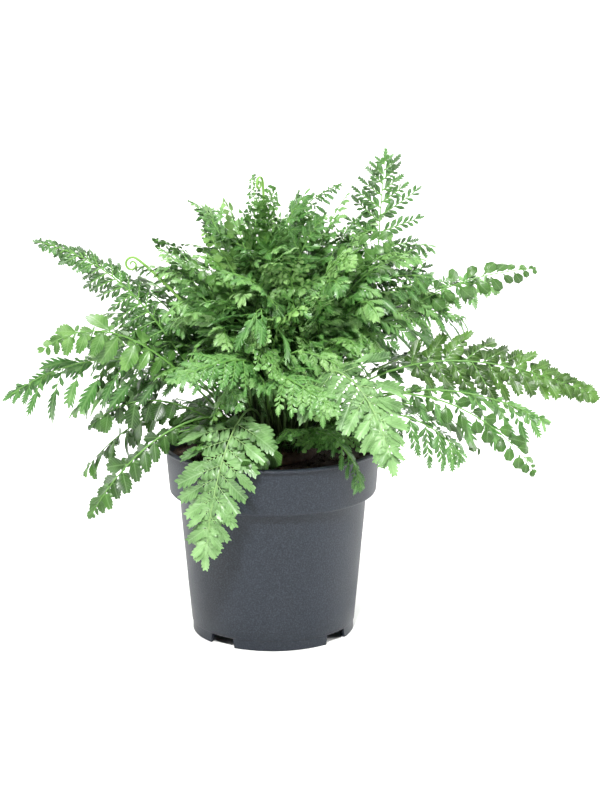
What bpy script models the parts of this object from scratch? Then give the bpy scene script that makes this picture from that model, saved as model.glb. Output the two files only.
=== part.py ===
"""Potted fern: a nursery pot with a stepped collar, its soil, the fern's crown and every frond.

Lengths are metres and angles degrees. Headings turn anticlockwise seen from above: 0 is +X,
270 is the front (-Y). A frond's reach and rise are measured from the pot's rim, so the plant
follows the pot. The whole model is moved last, so that the origin is the bottom centre of its box.
"""
import math
import random
from dataclasses import dataclass

import bmesh
import bpy
from mathutils import Vector, noise
from mathutils.bvhtree import BVHTree

# ---------------------------------------------------------------- driving dimensions
CLEARANCE = 0.0003          # gap kept between touching pieces

RIM_RADIUS = 0.070          # outside of the rolled lip
POT_HEIGHT = 0.1215
LIP_HEIGHT = 0.0020
LIP_OVERHANG = 0.0024       # lip beyond the collar under it
COLLAR_HEIGHT = 0.0308      # top of the lip to the collar's lower edge
COLLAR_TAPER = 0.0020       # radius lost down the collar
COLLAR_STEP = 0.0060        # collar beyond the body under it
COLLAR_FILLET = 0.0025
BODY_TAPER = 0.0076         # radius lost from the collar to the foot ring
POT_WALL = 0.0015
POT_FLOOR = 0.0018
FOOT_HEIGHT = 0.0067
FOOT_SEAM = 0.0006          # foot ring inset at the seam under the body
FOOT_WALL = 0.0020
NOTCH_HEIGHT = 0.0062       # the ring is cut into four feet
NOTCH_TOP_WIDTH = 0.0170
NOTCH_FOOT_WIDTH = 0.0218
FIRST_NOTCH = -38.4         # heading of the first notch, the others follow at right angles
DRAIN_RADIUS = 0.0050
DRAIN_INSET = 0.0110        # drain hole's centre in from the foot ring
POT_STEPS = 48              # sides of the turned pieces

SOIL_BELOW_RIM = 0.0095
SOIL_BUMP = 0.0016          # height of the soil's lumps

CROWN_RADIUS = 0.0290
CROWN_HEIGHT = 0.0130
CROWN_KNOB = 0.0010

BLADE_THICKNESS = 0.0008
RACHIS_WIDTH = 0.0020
PINNA_TIP_WIDTH = 0.0012
FROND_SPACE = 0.0005        # free space kept around a frond as it is placed
STIPE_RUNGS = 5
NUDGE = 0.0035              # step of the search for a stem's free way
STEM_RADIUS = 0.0013        # crozier stem
COIL_RADIUS = 0.0050        # outside of a crozier's coil
COIL_TURNS = 1.4
CROZIER_ARCH = 0.42

GOLDEN_ANGLE = 137.508


@dataclass
class Frond:
    """One frond: where its tip is, how its stem leaves and ends, and how its blade spreads."""
    name: str
    heading: float          # from the crown to the tip
    reach: float            # tip beyond the pot's rim, outward
    rise: float             # tip above the pot's rim
    lean: float             # slope of the stem where it leaves the crown
    droop: float            # slope of the stem at the tip
    half_width: float       # longest pinna
    pairs: int              # pairs of pinnae
    stipe: float = 0.35     # share of the stem that is bare
    roll: float = 0.0       # the blade's turn about its stem
    peak: float = 0.30      # where along the blade the pinnae are longest
    hang: float = 0.10      # fall of a pinna's tip, as a share of its length
    curl: float = 0.0       # the heading turns by twice this from base to tip
    arch: float = 0.42      # pull of the two end slopes, as a share of the chord
    foot: float = 0.0       # heading of the stem's place on the crown, from the frond's own


# The fronds that give the plant its outline, front and sides.
OUTLINE_FRONDS = (
    Frond("broad_frond_01", 303, 0.061, 0.014, 70, -66, 0.041, 9, 0.40, 20, 0.15, 0.12, 0, 0.60),
    Frond("broad_frond_02", 245, 0.024, -0.052, 66, -84, 0.042, 10, 0.34, -8, 0.12, 0.12, -8, 0.60),
    Frond("lace_frond_01", 184, 0.078, 0.131, 44, 14, 0.024, 12, 0.30, -55, 0.30, 0.25),
    Frond("comb_frond_01", 187, 0.097, 0.033, 58, -38, 0.022, 12, 0.35, -60, 0.25, 0.25),
    Frond("leaflet_frond_01", 196, 0.078, 0.067, 48, -36, 0.014, 9, 0.42, -60, 0.40, 0.10),
    Frond("leaflet_frond_02", 204, 0.053, -0.036, 56, -62, 0.014, 8, 0.45, -40, 0.40, 0.10),
    Frond("leaflet_frond_03", 185, 0.045, 0.012, 44, -48, 0.011, 7, 0.45, -50, 0.40, 0.10),
    Frond("lace_frond_02", 236, 0.039, 0.060, 72, -20, 0.018, 11, 0.40, -30, 0.30, 0.12, -36, 0.50, 40),
    Frond("lace_frond_03", 292, 0.038, 0.043, 72, -30, 0.017, 10, 0.40, 20, 0.30, 0.12, 36, 0.55, -40),
    Frond("leaflet_frond_04", 340, 0.103, -0.006, 46, -52, 0.015, 9, 0.42, 55, 0.45, 0.10, -4),
    Frond("broad_frond_03", 354, 0.133, 0.034, 50, -24, 0.028, 11, 0.42, 62, 0.25, 0.10),
    Frond("comb_frond_02", 346, 0.105, 0.024, 38, -24, 0.020, 10, 0.45, 50, 0.30, 0.30),
    Frond("leaflet_frond_05", 0, 0.097, 0.112, 52, 4, 0.013, 9, 0.40, 66, 0.45, 0.05),
    Frond("lace_frond_04", 6, 0.075, 0.097, 56, -14, 0.022, 10, 0.35, 60, 0.30, 0.15, 6),
    Frond("lace_frond_05", 8, 0.001, 0.183, 48, 84, 0.026, 11, 0.40, 80, 0.30, 0.10),
    Frond("lace_frond_06", 156, -0.020, 0.147, 80, 58, 0.014, 9, 0.45, -75, 0.30, 0.10),
    Frond("spoon_frond_01", 258, -0.050, 0.158, 86, 60, 0.012, 9, 0.35, 8, 0.40, 0.05, 0, 0.42, 110),
    Frond("comb_frond_03", 24, -0.020, 0.163, 84, 18, 0.016, 9, 0.40, 55, 0.30, 0.10),
    Frond("lace_frond_07", 336, -0.045, 0.163, 86, 50, 0.015, 9, 0.40, 30, 0.30, 0.10),
    Frond("leaflet_frond_06", 332, 0.014, 0.137, 76, 10, 0.013, 8, 0.45, 60, 0.40, 0.10),
    Frond("comb_frond_04", 354, 0.031, 0.107, 66, -14, 0.018, 9, 0.40, 55, 0.30, 0.15),
    Frond("comb_frond_05", 308, 0.018, -0.012, 50, -82, 0.013, 8, 0.45, 20, 0.35, 0.10),
    Frond("lace_frond_08", 345, 0.053, -0.003, 50, -55, 0.014, 8, 0.42, 40, 0.30, 0.10),
    Frond("comb_frond_06", 260, 0.000, 0.091, 76, -40, 0.016, 9, 0.40, -15, 0.30, 0.15, -6),
    Frond("leaflet_frond_07", 222, 0.000, 0.118, 72, -6, 0.016, 8, 0.45, -50, 0.40, 0.08),
)


@dataclass
class Tier:
    """A ring or arc of fronds that differ only by small steps: the body of the plant."""
    style: str
    first: int              # number of the tier's first frond within its style
    headings: tuple         # first heading, last heading, count
    reach: float
    rise: float
    lean: float
    droop: float
    half_width: float
    pairs: int
    stipe: float
    roll: float


TIERS = (
    Tier("broad", 4, (24, 156, 4), 0.084, 0.014, 50, -46, 0.030, 9, 0.42, 0),
    Tier("comb", 7, (40, 140, 4), 0.092, 0.056, 56, -26, 0.020, 9, 0.40, 0),
    Tier("leaflet", 8, (12, 168, 4), 0.062, -0.022, 46, -60, 0.014, 8, 0.42, 0),
    Tier("lace", 9, (28, 152, 4), 0.046, 0.106, 64, -6, 0.020, 9, 0.38, 0),
    Tier("spoon", 2, (60, 130, 2), -0.024, 0.150, 80, 40, 0.014, 8, 0.38, 0),
    Tier("spoon", 4, (205, 335, 5), -0.016, 0.062, 70, -22, 0.012, 8, 0.36, 0),
    Tier("lace", 13, (212, 322, 4), -0.026, 0.122, 80, 16, 0.013, 8, 0.40, 0),
)
TIER_SEED = 11
HEADING_JITTER = 6.0
LENGTH_JITTER = 0.008
ROLL_JITTER = 25.0
CURL_JITTER = 8.0


@dataclass
class Crozier:
    """A young frond still rolled up at its tip."""
    name: str
    heading: float
    reach: float
    rise: float
    lean: float
    droop: float
    rolls_back: bool        # the coil turns up and back over the stem


CROZIERS = (
    Crozier("crozier_01", 180, 0.014, 0.118, 62, 40, True),
    Crozier("crozier_02", 200, -0.064, 0.166, 86, 84, True),
    Crozier("crozier_03", 74, -0.010, 0.120, 76, 55, False),
)


# ---------------------------------------------------------------- general helpers
def direction(heading, slope=0.0):
    """Unit vector that points along a heading, raised by a slope."""
    turn = math.radians(heading)
    tilt = math.radians(slope)
    flat = math.cos(tilt)
    return Vector((flat * math.cos(turn), flat * math.sin(turn), math.sin(tilt)))


def material(name, colour, roughness):
    """Principled material of one colour."""
    made = bpy.data.materials.new(name)
    made.use_nodes = True
    shader = made.node_tree.nodes["Principled BSDF"]
    shader.inputs["Base Color"].default_value = (*colour, 1.0)
    shader.inputs["Roughness"].default_value = roughness
    made.diffuse_color = (*colour, 1.0)
    return made


def add_object(name, vertices, faces, finish):
    """New object in the scene from points and faces, with one material."""
    mesh = bpy.data.meshes.new(name)
    mesh.from_pydata([tuple(v) for v in vertices], [], faces)
    mesh.materials.append(finish)
    mesh.validate()
    made = bpy.data.objects.new(name, mesh)
    bpy.context.scene.collection.objects.link(made)
    return made


def turned(profile, steps=POT_STEPS):
    """Points and faces of a closed profile turned about Z; points on the axis are shared."""
    points = []
    rings = []
    for radius, height in profile:
        count = steps if radius > 0 else 1
        rings.append([len(points) + k for k in range(count)])
        for k in range(count):
            turn = 2 * math.pi * k / steps
            points.append(Vector((radius * math.cos(turn), radius * math.sin(turn), height)))
    faces = []
    for lower, upper in zip(rings, rings[1:] + rings[:1]):
        if len(lower) == 1 and len(upper) == 1:
            continue
        for k in range(steps):
            corners = (lower[k % len(lower)], lower[(k + 1) % len(lower)],
                       upper[(k + 1) % len(upper)], upper[k % len(upper)])
            faces.append(tuple(dict.fromkeys(corners)))
    return points, faces


def face_outward(target):
    """Turn every face of a closed mesh to point out."""
    shape = bmesh.new()
    shape.from_mesh(target.data)
    bmesh.ops.recalc_face_normals(shape, faces=shape.faces)
    shape.to_mesh(target.data)
    shape.free()


def cut(target, cutter):
    """Boolean difference that keeps the cutter as a hidden guide."""
    cutter.hide_render = True
    cutter.display_type = "WIRE"
    step = target.modifiers.new(cutter.name, "BOOLEAN")
    step.operation = "DIFFERENCE"
    step.solver = "EXACT"
    step.object = cutter


# ---------------------------------------------------------------- pot
SOIL_TOP = POT_HEIGHT - SOIL_BELOW_RIM
COLLAR_FOOT = POT_HEIGHT - COLLAR_HEIGHT
COLLAR_TOP_RADIUS = RIM_RADIUS - LIP_OVERHANG
COLLAR_FOOT_RADIUS = COLLAR_TOP_RADIUS - COLLAR_TAPER
BODY_TOP_RADIUS = COLLAR_FOOT_RADIUS - COLLAR_STEP
BODY_FOOT_RADIUS = BODY_TOP_RADIUS - BODY_TAPER
FOOT_RADIUS = BODY_FOOT_RADIUS - FOOT_SEAM
FLOOR_TOP = FOOT_HEIGHT + POT_FLOOR


def inner_radius(height):
    """Radius of the pot's inside wall at a height above its floor."""
    share = (height - FOOT_HEIGHT) / (COLLAR_FOOT - FOOT_HEIGHT)
    body = BODY_FOOT_RADIUS + share * (BODY_TOP_RADIUS - BODY_FOOT_RADIUS)
    if height <= COLLAR_FOOT:
        return body - POT_WALL
    share = (height - COLLAR_FOOT) / COLLAR_HEIGHT
    return COLLAR_FOOT_RADIUS + share * COLLAR_TAPER - POT_WALL


def make_pot(finish):
    """The turned shell, then four notches in the foot ring and five drain holes."""
    lip_foot = POT_HEIGHT - LIP_HEIGHT
    fillet = []
    for k in range(4):
        turn = math.radians(-90 + 30 * k)
        fillet.append((COLLAR_FOOT_RADIUS + COLLAR_FILLET * (math.cos(turn) - 1),
                       COLLAR_FOOT + COLLAR_FILLET * (math.sin(turn) + 1)))
    step_height = COLLAR_FOOT + POT_WALL
    profile = [
        (FOOT_RADIUS - FOOT_WALL, 0),
        (FOOT_RADIUS, 0),
        (FOOT_RADIUS, FOOT_HEIGHT),
        (BODY_FOOT_RADIUS, FOOT_HEIGHT),
        (BODY_TOP_RADIUS, COLLAR_FOOT),
        *fillet,
        (COLLAR_TOP_RADIUS, lip_foot),
        (RIM_RADIUS, lip_foot),
        (RIM_RADIUS, POT_HEIGHT - LIP_HEIGHT / 4),
        (RIM_RADIUS - LIP_HEIGHT / 4, POT_HEIGHT),
        (inner_radius(POT_HEIGHT), POT_HEIGHT),
        (inner_radius(step_height), step_height),
        (inner_radius(COLLAR_FOOT) - POT_WALL / 4, step_height),
        (inner_radius(FLOOR_TOP), FLOOR_TOP),
        (0, FLOOR_TOP),
        (0, FOOT_HEIGHT),
        (FOOT_RADIUS - FOOT_WALL, FOOT_HEIGHT),
    ]
    pot = add_object("pot", *turned(profile), finish)
    face_outward(pot)

    reach = 4 * FOOT_WALL
    notch_top = NOTCH_TOP_WIDTH / 2
    notch_foot = NOTCH_FOOT_WIDTH / 2
    below = NOTCH_HEIGHT / 4
    for k in range(4):
        heading = FIRST_NOTCH + 90 * k
        out = direction(heading)
        side = direction(heading + 90)
        corners = []
        for radius in (FOOT_RADIUS - reach, FOOT_RADIUS + reach):
            for half, height in ((-notch_foot, -below), (notch_foot, -below),
                                 (notch_top, NOTCH_HEIGHT), (-notch_top, NOTCH_HEIGHT)):
                corners.append(out * radius + side * half + Vector((0, 0, height)))
        faces = [(0, 1, 2, 3), (7, 6, 5, 4), (0, 4, 5, 1), (1, 5, 6, 2), (2, 6, 7, 3), (3, 7, 4, 0)]
        notch = add_object(f"notch_cutter_{k + 1}", corners, faces, finish)
        face_outward(notch)
        cut(pot, notch)

    centres = [Vector((0, 0, 0))]
    centres += [direction(FIRST_NOTCH + 90 * k) * (FOOT_RADIUS - DRAIN_INSET) for k in range(4)]
    for k, centre in enumerate(centres):
        hole_profile = [(0, FOOT_HEIGHT - POT_FLOOR), (DRAIN_RADIUS, FOOT_HEIGHT - POT_FLOOR),
                        (DRAIN_RADIUS, FLOOR_TOP + POT_FLOOR), (0, FLOOR_TOP + POT_FLOOR)]
        points, faces = turned(hole_profile, 12)
        drain = add_object(f"drain_cutter_{k + 1}", [p + centre for p in points], faces, finish)
        face_outward(drain)
        cut(pot, drain)
    return pot


# ---------------------------------------------------------------- soil and crown
def soil_height(place):
    """Height of the soil's surface: level under the crown and at the wall, lumpy between."""
    radius = place.to_2d().length
    edge = inner_radius(SOIL_TOP)
    free = min(radius - CROWN_RADIUS - 0.003, edge - radius)
    weight = max(0.0, min(1.0, free / 0.006))
    lump = noise.noise(Vector((place.x * 90, place.y * 90, 3.0)))
    return SOIL_TOP + SOIL_BUMP * weight * (lump + 0.4)


def make_soil(finish):
    """Soil that fills the pot to just below the rim, a clearance away from the plastic."""
    floor = FLOOR_TOP + CLEARANCE
    edge = inner_radius(SOIL_TOP) - CLEARANCE
    step_height = COLLAR_FOOT + POT_WALL + CLEARANCE
    body_top = inner_radius(COLLAR_FOOT) - POT_WALL / 4 - CLEARANCE
    profile = [(0, floor),
               (inner_radius(FLOOR_TOP) - CLEARANCE, floor),
               (body_top, step_height),
               (inner_radius(step_height) - CLEARANCE, step_height),
               (edge, SOIL_TOP)]
    rings = 6
    profile += [(edge * (rings - k) / rings, SOIL_TOP) for k in range(1, rings + 1)]
    points, faces = turned(profile)
    for point in points:
        if point.z > step_height + CLEARANCE:
            point.z = soil_height(point)
    soil = add_object("soil", points, faces, finish)
    face_outward(soil)
    return soil


def make_crown(finish):
    """The short rootstock on the soil that every frond grows from: a knobbly low dome."""
    foot = SOIL_TOP + CLEARANCE
    profile = [(0, foot), (CROWN_RADIUS, foot)]
    for k in range(1, 6):
        turn = math.radians(90 * k / 5)
        radius = CROWN_RADIUS * math.cos(turn) if k < 5 else 0
        profile.append((radius, foot + 0.002 + (CROWN_HEIGHT - 0.002) * math.sin(turn)))
    points, faces = turned(profile, 24)
    for point in points:
        if point.z > foot + CLEARANCE:
            knob = noise.noise(Vector((point.x, point.y, point.z)) * 160)
            point.z += CROWN_KNOB * (knob + 0.5)
    crown = add_object("crown", points, faces, finish)
    face_outward(crown)
    return crown


# ---------------------------------------------------------------- stems on the crown
def crown_places(count):
    """Evenly spread places on the crown, on the golden-angle spiral of growing shoots."""
    places = []
    for k in range(count):
        radius = 0.92 * CROWN_RADIUS * math.sqrt((k + 0.5) / count)
        places.append(direction(GOLDEN_ANGLE * k) * radius)
    return places


def take_place(places, heading, lean):
    """The free place nearest to where a stem of this heading and slope belongs."""
    wanted = direction(heading) * CROWN_RADIUS * (1 - lean / 100)
    chosen = min(places, key=lambda place: (place - wanted).length)
    places.remove(chosen)
    return chosen


def stem_curve(base, tip, lean, droop, curl, arch, samples):
    """Evenly spaced points and tangents along a stem's cubic curve, from base to tip."""
    chord = tip - base
    heading = math.degrees(math.atan2(chord.y, chord.x))
    handle = arch * chord.length
    first = base + direction(heading - curl, lean) * handle
    last = tip - direction(heading + curl, droop) * handle
    fine = []
    steps = 120
    for k in range(steps + 1):
        t = k / steps
        fine.append(base * (1 - t) ** 3 + first * 3 * t * (1 - t) ** 2
                    + last * 3 * t * t * (1 - t) + tip * t ** 3)
    lengths = [0.0]
    for before, after in zip(fine, fine[1:]):
        lengths.append(lengths[-1] + (after - before).length)
    points = []
    tangents = []
    k = 0
    for share in samples:
        goal = share * lengths[-1]
        while k < steps - 1 and lengths[k + 1] < goal:
            k += 1
        part = (goal - lengths[k]) / (lengths[k + 1] - lengths[k])
        points.append(fine[k].lerp(fine[k + 1], part))
        tangents.append((fine[k + 1] - fine[k]).normalized())
    return points, tangents, heading


# ---------------------------------------------------------------- fronds
def pinna_spread(share, peak):
    """Length of a pinna along the blade, as a share of the longest."""
    if share < peak:
        return 0.62 + 0.38 * math.sin(0.5 * math.pi * share / peak)
    return 0.12 + 0.88 * math.cos(0.5 * math.pi * (share - peak) / (1 - peak)) ** 0.85


def slab(corners, up, space):
    """Closed box around a flat face, thick as a blade, with free space all round."""
    middle = sum(corners, Vector()) / len(corners)
    half = BLADE_THICKNESS / 2 + space
    points = []
    for side in (half, -half):
        for corner in corners:
            points.append(corner + (corner - middle).normalized() * space + up * side)
    count = len(corners)
    faces = [tuple(range(count)), tuple(range(2 * count - 1, count - 1, -1))]
    for k in range(count):
        after = (k + 1) % count
        faces.append((k, count + k, count + after, after))
    return points, faces


def slab_hits(tree, corners, up):
    """Whether a face with its free space touches what is already there."""
    points, faces = slab(corners, up, FROND_SPACE)
    return bool(BVHTree.FromPolygons(points, faces).overlap(tree))


class FrondSheet:
    """The flat pieces of one frond: rungs of the stem strip and the pinnae on both sides."""

    def __init__(self, frond, base, tip, slope):
        bare = [frond.stipe * k / STIPE_RUNGS for k in range(STIPE_RUNGS)]
        blade = []
        for k in range(frond.pairs + 1):
            along = 1 - (1 - k / frond.pairs) ** 1.15
            blade.append(frond.stipe + (0.985 - frond.stipe) * along)
        self.shares = bare + blade
        self.frond = frond
        lean = frond.lean + slope
        curve = stem_curve(base, tip, lean, frond.droop, frond.curl, frond.arch, self.shares)
        self.centres, self.tangents, heading = curve
        self.sides = []
        self.ups = []
        across = direction(heading + 90)
        for share, tangent in zip(self.shares, self.tangents):
            side = (across - tangent * across.dot(tangent)).normalized()
            up = tangent.cross(side)
            turn = math.radians(frond.roll) * min(1.0, share / max(frond.stipe, 0.1))
            rolled = side * math.cos(turn) + up * math.sin(turn)
            self.sides.append(rolled)
            self.ups.append(tangent.cross(rolled))
        half = RACHIS_WIDTH / 2
        self.left = [c + s * half for c, s in zip(self.centres, self.sides)]
        self.right = [c - s * half for c, s in zip(self.centres, self.sides)]

    def strip_face(self, k):
        return [self.left[k], self.right[k], self.right[k + 1], self.left[k + 1]]

    def strip_is_clear(self, tree):
        for k in range(len(self.centres) - 1):
            if slab_hits(tree, self.strip_face(k), self.ups[k]):
                return False
        return True

    def pinna_tip(self, k, hand, size):
        """The two tip corners of the pinna on rung k, hand +1 left or -1 right."""
        frond = self.frond
        share = (self.shares[k] - frond.stipe) / (1 - frond.stipe)
        length = size * frond.half_width * pinna_spread(share, frond.peak)
        slant = math.radians(66 - 22 * share)
        row = self.left if hand > 0 else self.right
        root = (row[k] + row[k + 1]) / 2
        tangent = (row[k + 1] - row[k]).normalized()
        side = self.sides[k] * hand
        out = tangent * math.cos(slant) + side * math.sin(slant)
        tip = root + out * length - self.ups[k] * frond.hang * length
        step = tangent * min(PINNA_TIP_WIDTH, (row[k + 1] - row[k]).length * 0.4) / 2
        return tip - step, tip + step


def frond_tip(frond):
    """Where a frond's tip is, seen from the pot's axis."""
    return direction(frond.heading) * (RIM_RADIUS + frond.reach) + Vector((0, 0, POT_HEIGHT + frond.rise))


def nudges():
    """Small moves of the tip and changes of the first slope to try, the smallest first."""
    tries = [(Vector(), 0.0)]
    for ring in range(1, 13):
        for slope in (0.0, 5.0, -5.0, 10.0, -10.0):
            for k in range(8):
                move = direction(45 * k + 20 * ring, 15) * NUDGE * ring
                tries.append((move, slope * ring / 3))
    return tries


class Room:
    """What is already in place: points and faces that later pieces keep clear of."""

    def __init__(self):
        self.points = []
        self.faces = []

    def add(self, points, faces):
        first = len(self.points)
        self.points.extend(points)
        self.faces.extend(tuple(first + k for k in face) for face in faces)

    def add_object(self, target):
        mesh = target.data
        self.add([v.co.copy() for v in mesh.vertices], [tuple(p.vertices) for p in mesh.polygons])

    def add_stem(self, sheet):
        for k in range(len(sheet.centres) - 1):
            self.add(*slab(sheet.strip_face(k), sheet.ups[k], 0.0))

    def tree(self):
        return BVHTree.FromPolygons(self.points, self.faces)


def place_frond(frond, place, crown_top, room):
    """The frond's sheet at the first nudge that leaves its stem free, with its base on the crown."""
    foot = Vector((place.x, place.y, crown_top(place) + BLADE_THICKNESS / 2 + RACHIS_WIDTH))
    tip = frond_tip(frond)
    tree = room.tree()
    for move, slope in nudges():
        sheet = FrondSheet(frond, foot, tip + move, slope)
        if sheet.strip_is_clear(tree):
            return sheet
    raise RuntimeError(f"no free way for {frond.name}")


def make_frond(sheet, stems, pinnae, finish):
    """One closed thin body: the stem strip and each pinna, shortened where it has no room."""
    stem_tree = stems.tree()
    pinna_tree = pinnae.tree()
    rungs = len(sheet.centres)
    points = sheet.left + sheet.right
    faces = [(k, rungs + k, rungs + k + 1, k + 1) for k in range(rungs - 1)]
    for k in range(STIPE_RUNGS, rungs - 1):
        for hand in (1, -1):
            row = sheet.left if hand > 0 else sheet.right
            for size in (1.0, 0.8, 0.6, 0.4):
                near, far = sheet.pinna_tip(k, hand, size)
                corners = [row[k], row[k + 1], far, near]
                if slab_hits(stem_tree, corners, sheet.ups[k]):
                    continue
                if slab_hits(pinna_tree, corners, sheet.ups[k]):
                    continue
                pinnae.add(*slab(corners, sheet.ups[k], 0.0))
                first = len(points)
                points += [near, far]
                root = (k, k + 1) if hand > 0 else (rungs + k, rungs + k + 1)
                face = (root[0], root[1], first + 1, first)
                faces.append(face if hand > 0 else face[::-1])
                break
    made = add_object(sheet.frond.name, points, faces, finish)
    blade = made.modifiers.new("blade", "SOLIDIFY")
    blade.thickness = BLADE_THICKNESS
    blade.offset = 0
    return made


def tier_fronds():
    """Every frond of the tiers, each a little different from its neighbours."""
    chance = random.Random(TIER_SEED)
    made = []
    for tier in TIERS:
        start, end, count = tier.headings
        for k in range(count):
            heading = start + (end - start) * k / max(count - 1, 1)
            made.append(Frond(
                f"{tier.style}_frond_{tier.first + k:02d}",
                heading + chance.uniform(-1, 1) * HEADING_JITTER,
                tier.reach + chance.uniform(-1, 1) * LENGTH_JITTER,
                tier.rise + chance.uniform(-1, 1) * LENGTH_JITTER * 2,
                tier.lean + chance.uniform(-4, 4),
                tier.droop + chance.uniform(-8, 8),
                tier.half_width,
                tier.pairs,
                tier.stipe,
                tier.roll + chance.uniform(-1, 1) * ROLL_JITTER,
                curl=chance.uniform(-1, 1) * CURL_JITTER,
            ))
    return made


# ---------------------------------------------------------------- croziers
def crozier_line(crozier, foot, tip):
    """Centres, tangents and radii along the stem and round its coil."""
    shares = [k / 9 for k in range(10)]
    curve = stem_curve(foot, tip, crozier.lean, crozier.droop, 0, CROZIER_ARCH, shares)
    centres, tangents, heading = curve
    radii = [STEM_RADIUS * (1 - 0.25 * share) for share in shares]
    out = tangents[-1]
    inward = out.cross(direction(heading + 90)).normalized()
    if crozier.rolls_back:
        inward = -inward
    axis = tip + inward * COIL_RADIUS
    steps = int(12 * COIL_TURNS)
    for k in range(1, steps + 1):
        share = k / steps
        turn = 2 * math.pi * COIL_TURNS * share
        radius = COIL_RADIUS * (1 - 0.80 * share)
        arm = out * math.sin(turn) - inward * math.cos(turn)
        centres.append(axis + arm * radius)
        tangents.append((out * math.cos(turn) + inward * math.sin(turn)).normalized())
        radii.append(STEM_RADIUS * (0.75 - 0.30 * share))
    return centres, tangents, radii, heading


def tube(centres, tangents, radii, across, sides=6):
    """Points and faces of a round closed tube along a line."""
    points = []
    for centre, tangent, radius in zip(centres, tangents, radii):
        side = (across - tangent * across.dot(tangent)).normalized()
        up = tangent.cross(side)
        for j in range(sides):
            turn = 2 * math.pi * j / sides
            points.append(centre + (side * math.cos(turn) + up * math.sin(turn)) * radius)
    faces = [tuple(range(sides - 1, -1, -1)), tuple(range(len(points) - sides, len(points)))]
    for k in range(len(centres) - 1):
        for j in range(sides):
            after = (j + 1) % sides
            faces.append((sides * k + j, sides * k + after,
                          sides * (k + 1) + after, sides * (k + 1) + j))
    return points, faces


def make_crozier(crozier, place, crown_top, room, finish):
    """A round stem with its tip rolled into a flat coil."""
    foot = Vector((place.x, place.y, crown_top(place) + STEM_RADIUS * 1.6))
    tip = frond_tip(crozier)
    centres, tangents, radii, heading = crozier_line(crozier, foot, tip)
    points, faces = tube(centres, tangents, radii, direction(heading + 90))
    room.add(points, faces)
    made = add_object(crozier.name, points, faces, finish)
    face_outward(made)
    return made


# ---------------------------------------------------------------- the model
def settle_on_origin(pieces):
    """Move everything so that the bottom centre of the whole box is the origin, to 0.1 mm."""
    bpy.context.view_layer.update()
    lows = Vector((1e9, 1e9, 1e9))
    highs = -lows
    for piece in pieces:
        for vertex in piece.data.vertices:
            for axis in range(3):
                lows[axis] = min(lows[axis], vertex.co[axis])
                highs[axis] = max(highs[axis], vertex.co[axis])
    shift = Vector((round(-(lows.x + highs.x) / 2, 4), round(-(lows.y + highs.y) / 2, 4), 0))
    for target in bpy.data.objects:
        for vertex in target.data.vertices:
            vertex.co += shift


def main():
    for old in list(bpy.data.objects):
        bpy.data.objects.remove(old)

    slate = material("slate_plastic", (0.085, 0.092, 0.112), 0.55)
    peat = material("peat", (0.022, 0.014, 0.009), 0.95)
    rootstock = material("rootstock", (0.060, 0.034, 0.018), 0.85)
    greens = {
        "broad": material("green_broad", (0.20, 0.42, 0.16), 0.45),
        "leaflet": material("green_leaflet", (0.15, 0.36, 0.14), 0.45),
        "lace": material("green_lace", (0.24, 0.47, 0.22), 0.45),
        "comb": material("green_comb", (0.12, 0.33, 0.18), 0.45),
        "spoon": material("green_spoon", (0.30, 0.52, 0.24), 0.45),
    }
    young = material("green_crozier", (0.35, 0.46, 0.18), 0.50)

    pot = make_pot(slate)
    soil = make_soil(peat)
    crown = make_crown(rootstock)
    pieces = [pot, soil, crown]

    solids = Room()
    for piece in pieces:
        solids.add_object(piece)
    crown_tree = BVHTree.FromObject(crown, bpy.context.evaluated_depsgraph_get())

    def crown_top(place):
        start = Vector((place.x, place.y, SOIL_TOP + 4 * CROWN_HEIGHT))
        return crown_tree.ray_cast(start, Vector((0, 0, -1)))[0].z

    fronds = list(OUTLINE_FRONDS) + tier_fronds()
    places = crown_places(len(fronds) + len(CROZIERS))
    for crozier in CROZIERS:
        place = take_place(places, crozier.heading, crozier.lean)
        pieces.append(make_crozier(crozier, place, crown_top, solids, young))

    sheets = []
    stems = Room()
    stems.add(solids.points, solids.faces)
    for frond in fronds:
        place = take_place(places, frond.heading + frond.foot, frond.lean)
        sheet = place_frond(frond, place, crown_top, stems)
        stems.add_stem(sheet)
        sheets.append(sheet)
    pinnae = Room()
    for sheet in sheets:
        others = Room()
        others.add(solids.points, solids.faces)
        for other in sheets:
            if other is not sheet:
                others.add_stem(other)
        style = sheet.frond.name.split("_")[0]
        pieces.append(make_frond(sheet, others, pinnae, greens[style]))
    settle_on_origin(pieces)


main()
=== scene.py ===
"""Potted fern: a stepped nursery pot, its soil, the crown and every frond, grown on the CAD frame.

The frame gives where each piece is. Each frond on a CAD node reads its stem from the strip of that node; the
inner and low fronds are laid out round the crown by rule.
"""
import math
import random

import bmesh
import bpy
import numpy as np
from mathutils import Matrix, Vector, noise


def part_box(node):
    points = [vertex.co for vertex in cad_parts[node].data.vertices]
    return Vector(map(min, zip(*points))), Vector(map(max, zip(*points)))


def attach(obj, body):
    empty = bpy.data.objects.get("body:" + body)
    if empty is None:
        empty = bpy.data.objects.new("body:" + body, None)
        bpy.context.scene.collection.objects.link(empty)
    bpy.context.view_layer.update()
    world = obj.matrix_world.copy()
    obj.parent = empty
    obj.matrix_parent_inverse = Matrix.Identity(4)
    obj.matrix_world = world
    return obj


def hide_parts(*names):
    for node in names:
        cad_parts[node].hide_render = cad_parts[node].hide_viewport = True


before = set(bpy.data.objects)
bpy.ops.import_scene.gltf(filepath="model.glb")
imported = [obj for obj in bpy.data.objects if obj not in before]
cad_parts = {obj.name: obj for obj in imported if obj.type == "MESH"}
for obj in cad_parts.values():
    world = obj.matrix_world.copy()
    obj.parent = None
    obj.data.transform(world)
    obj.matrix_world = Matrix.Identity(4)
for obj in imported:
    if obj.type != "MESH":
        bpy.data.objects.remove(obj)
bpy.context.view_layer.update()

MM = 0.001


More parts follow.
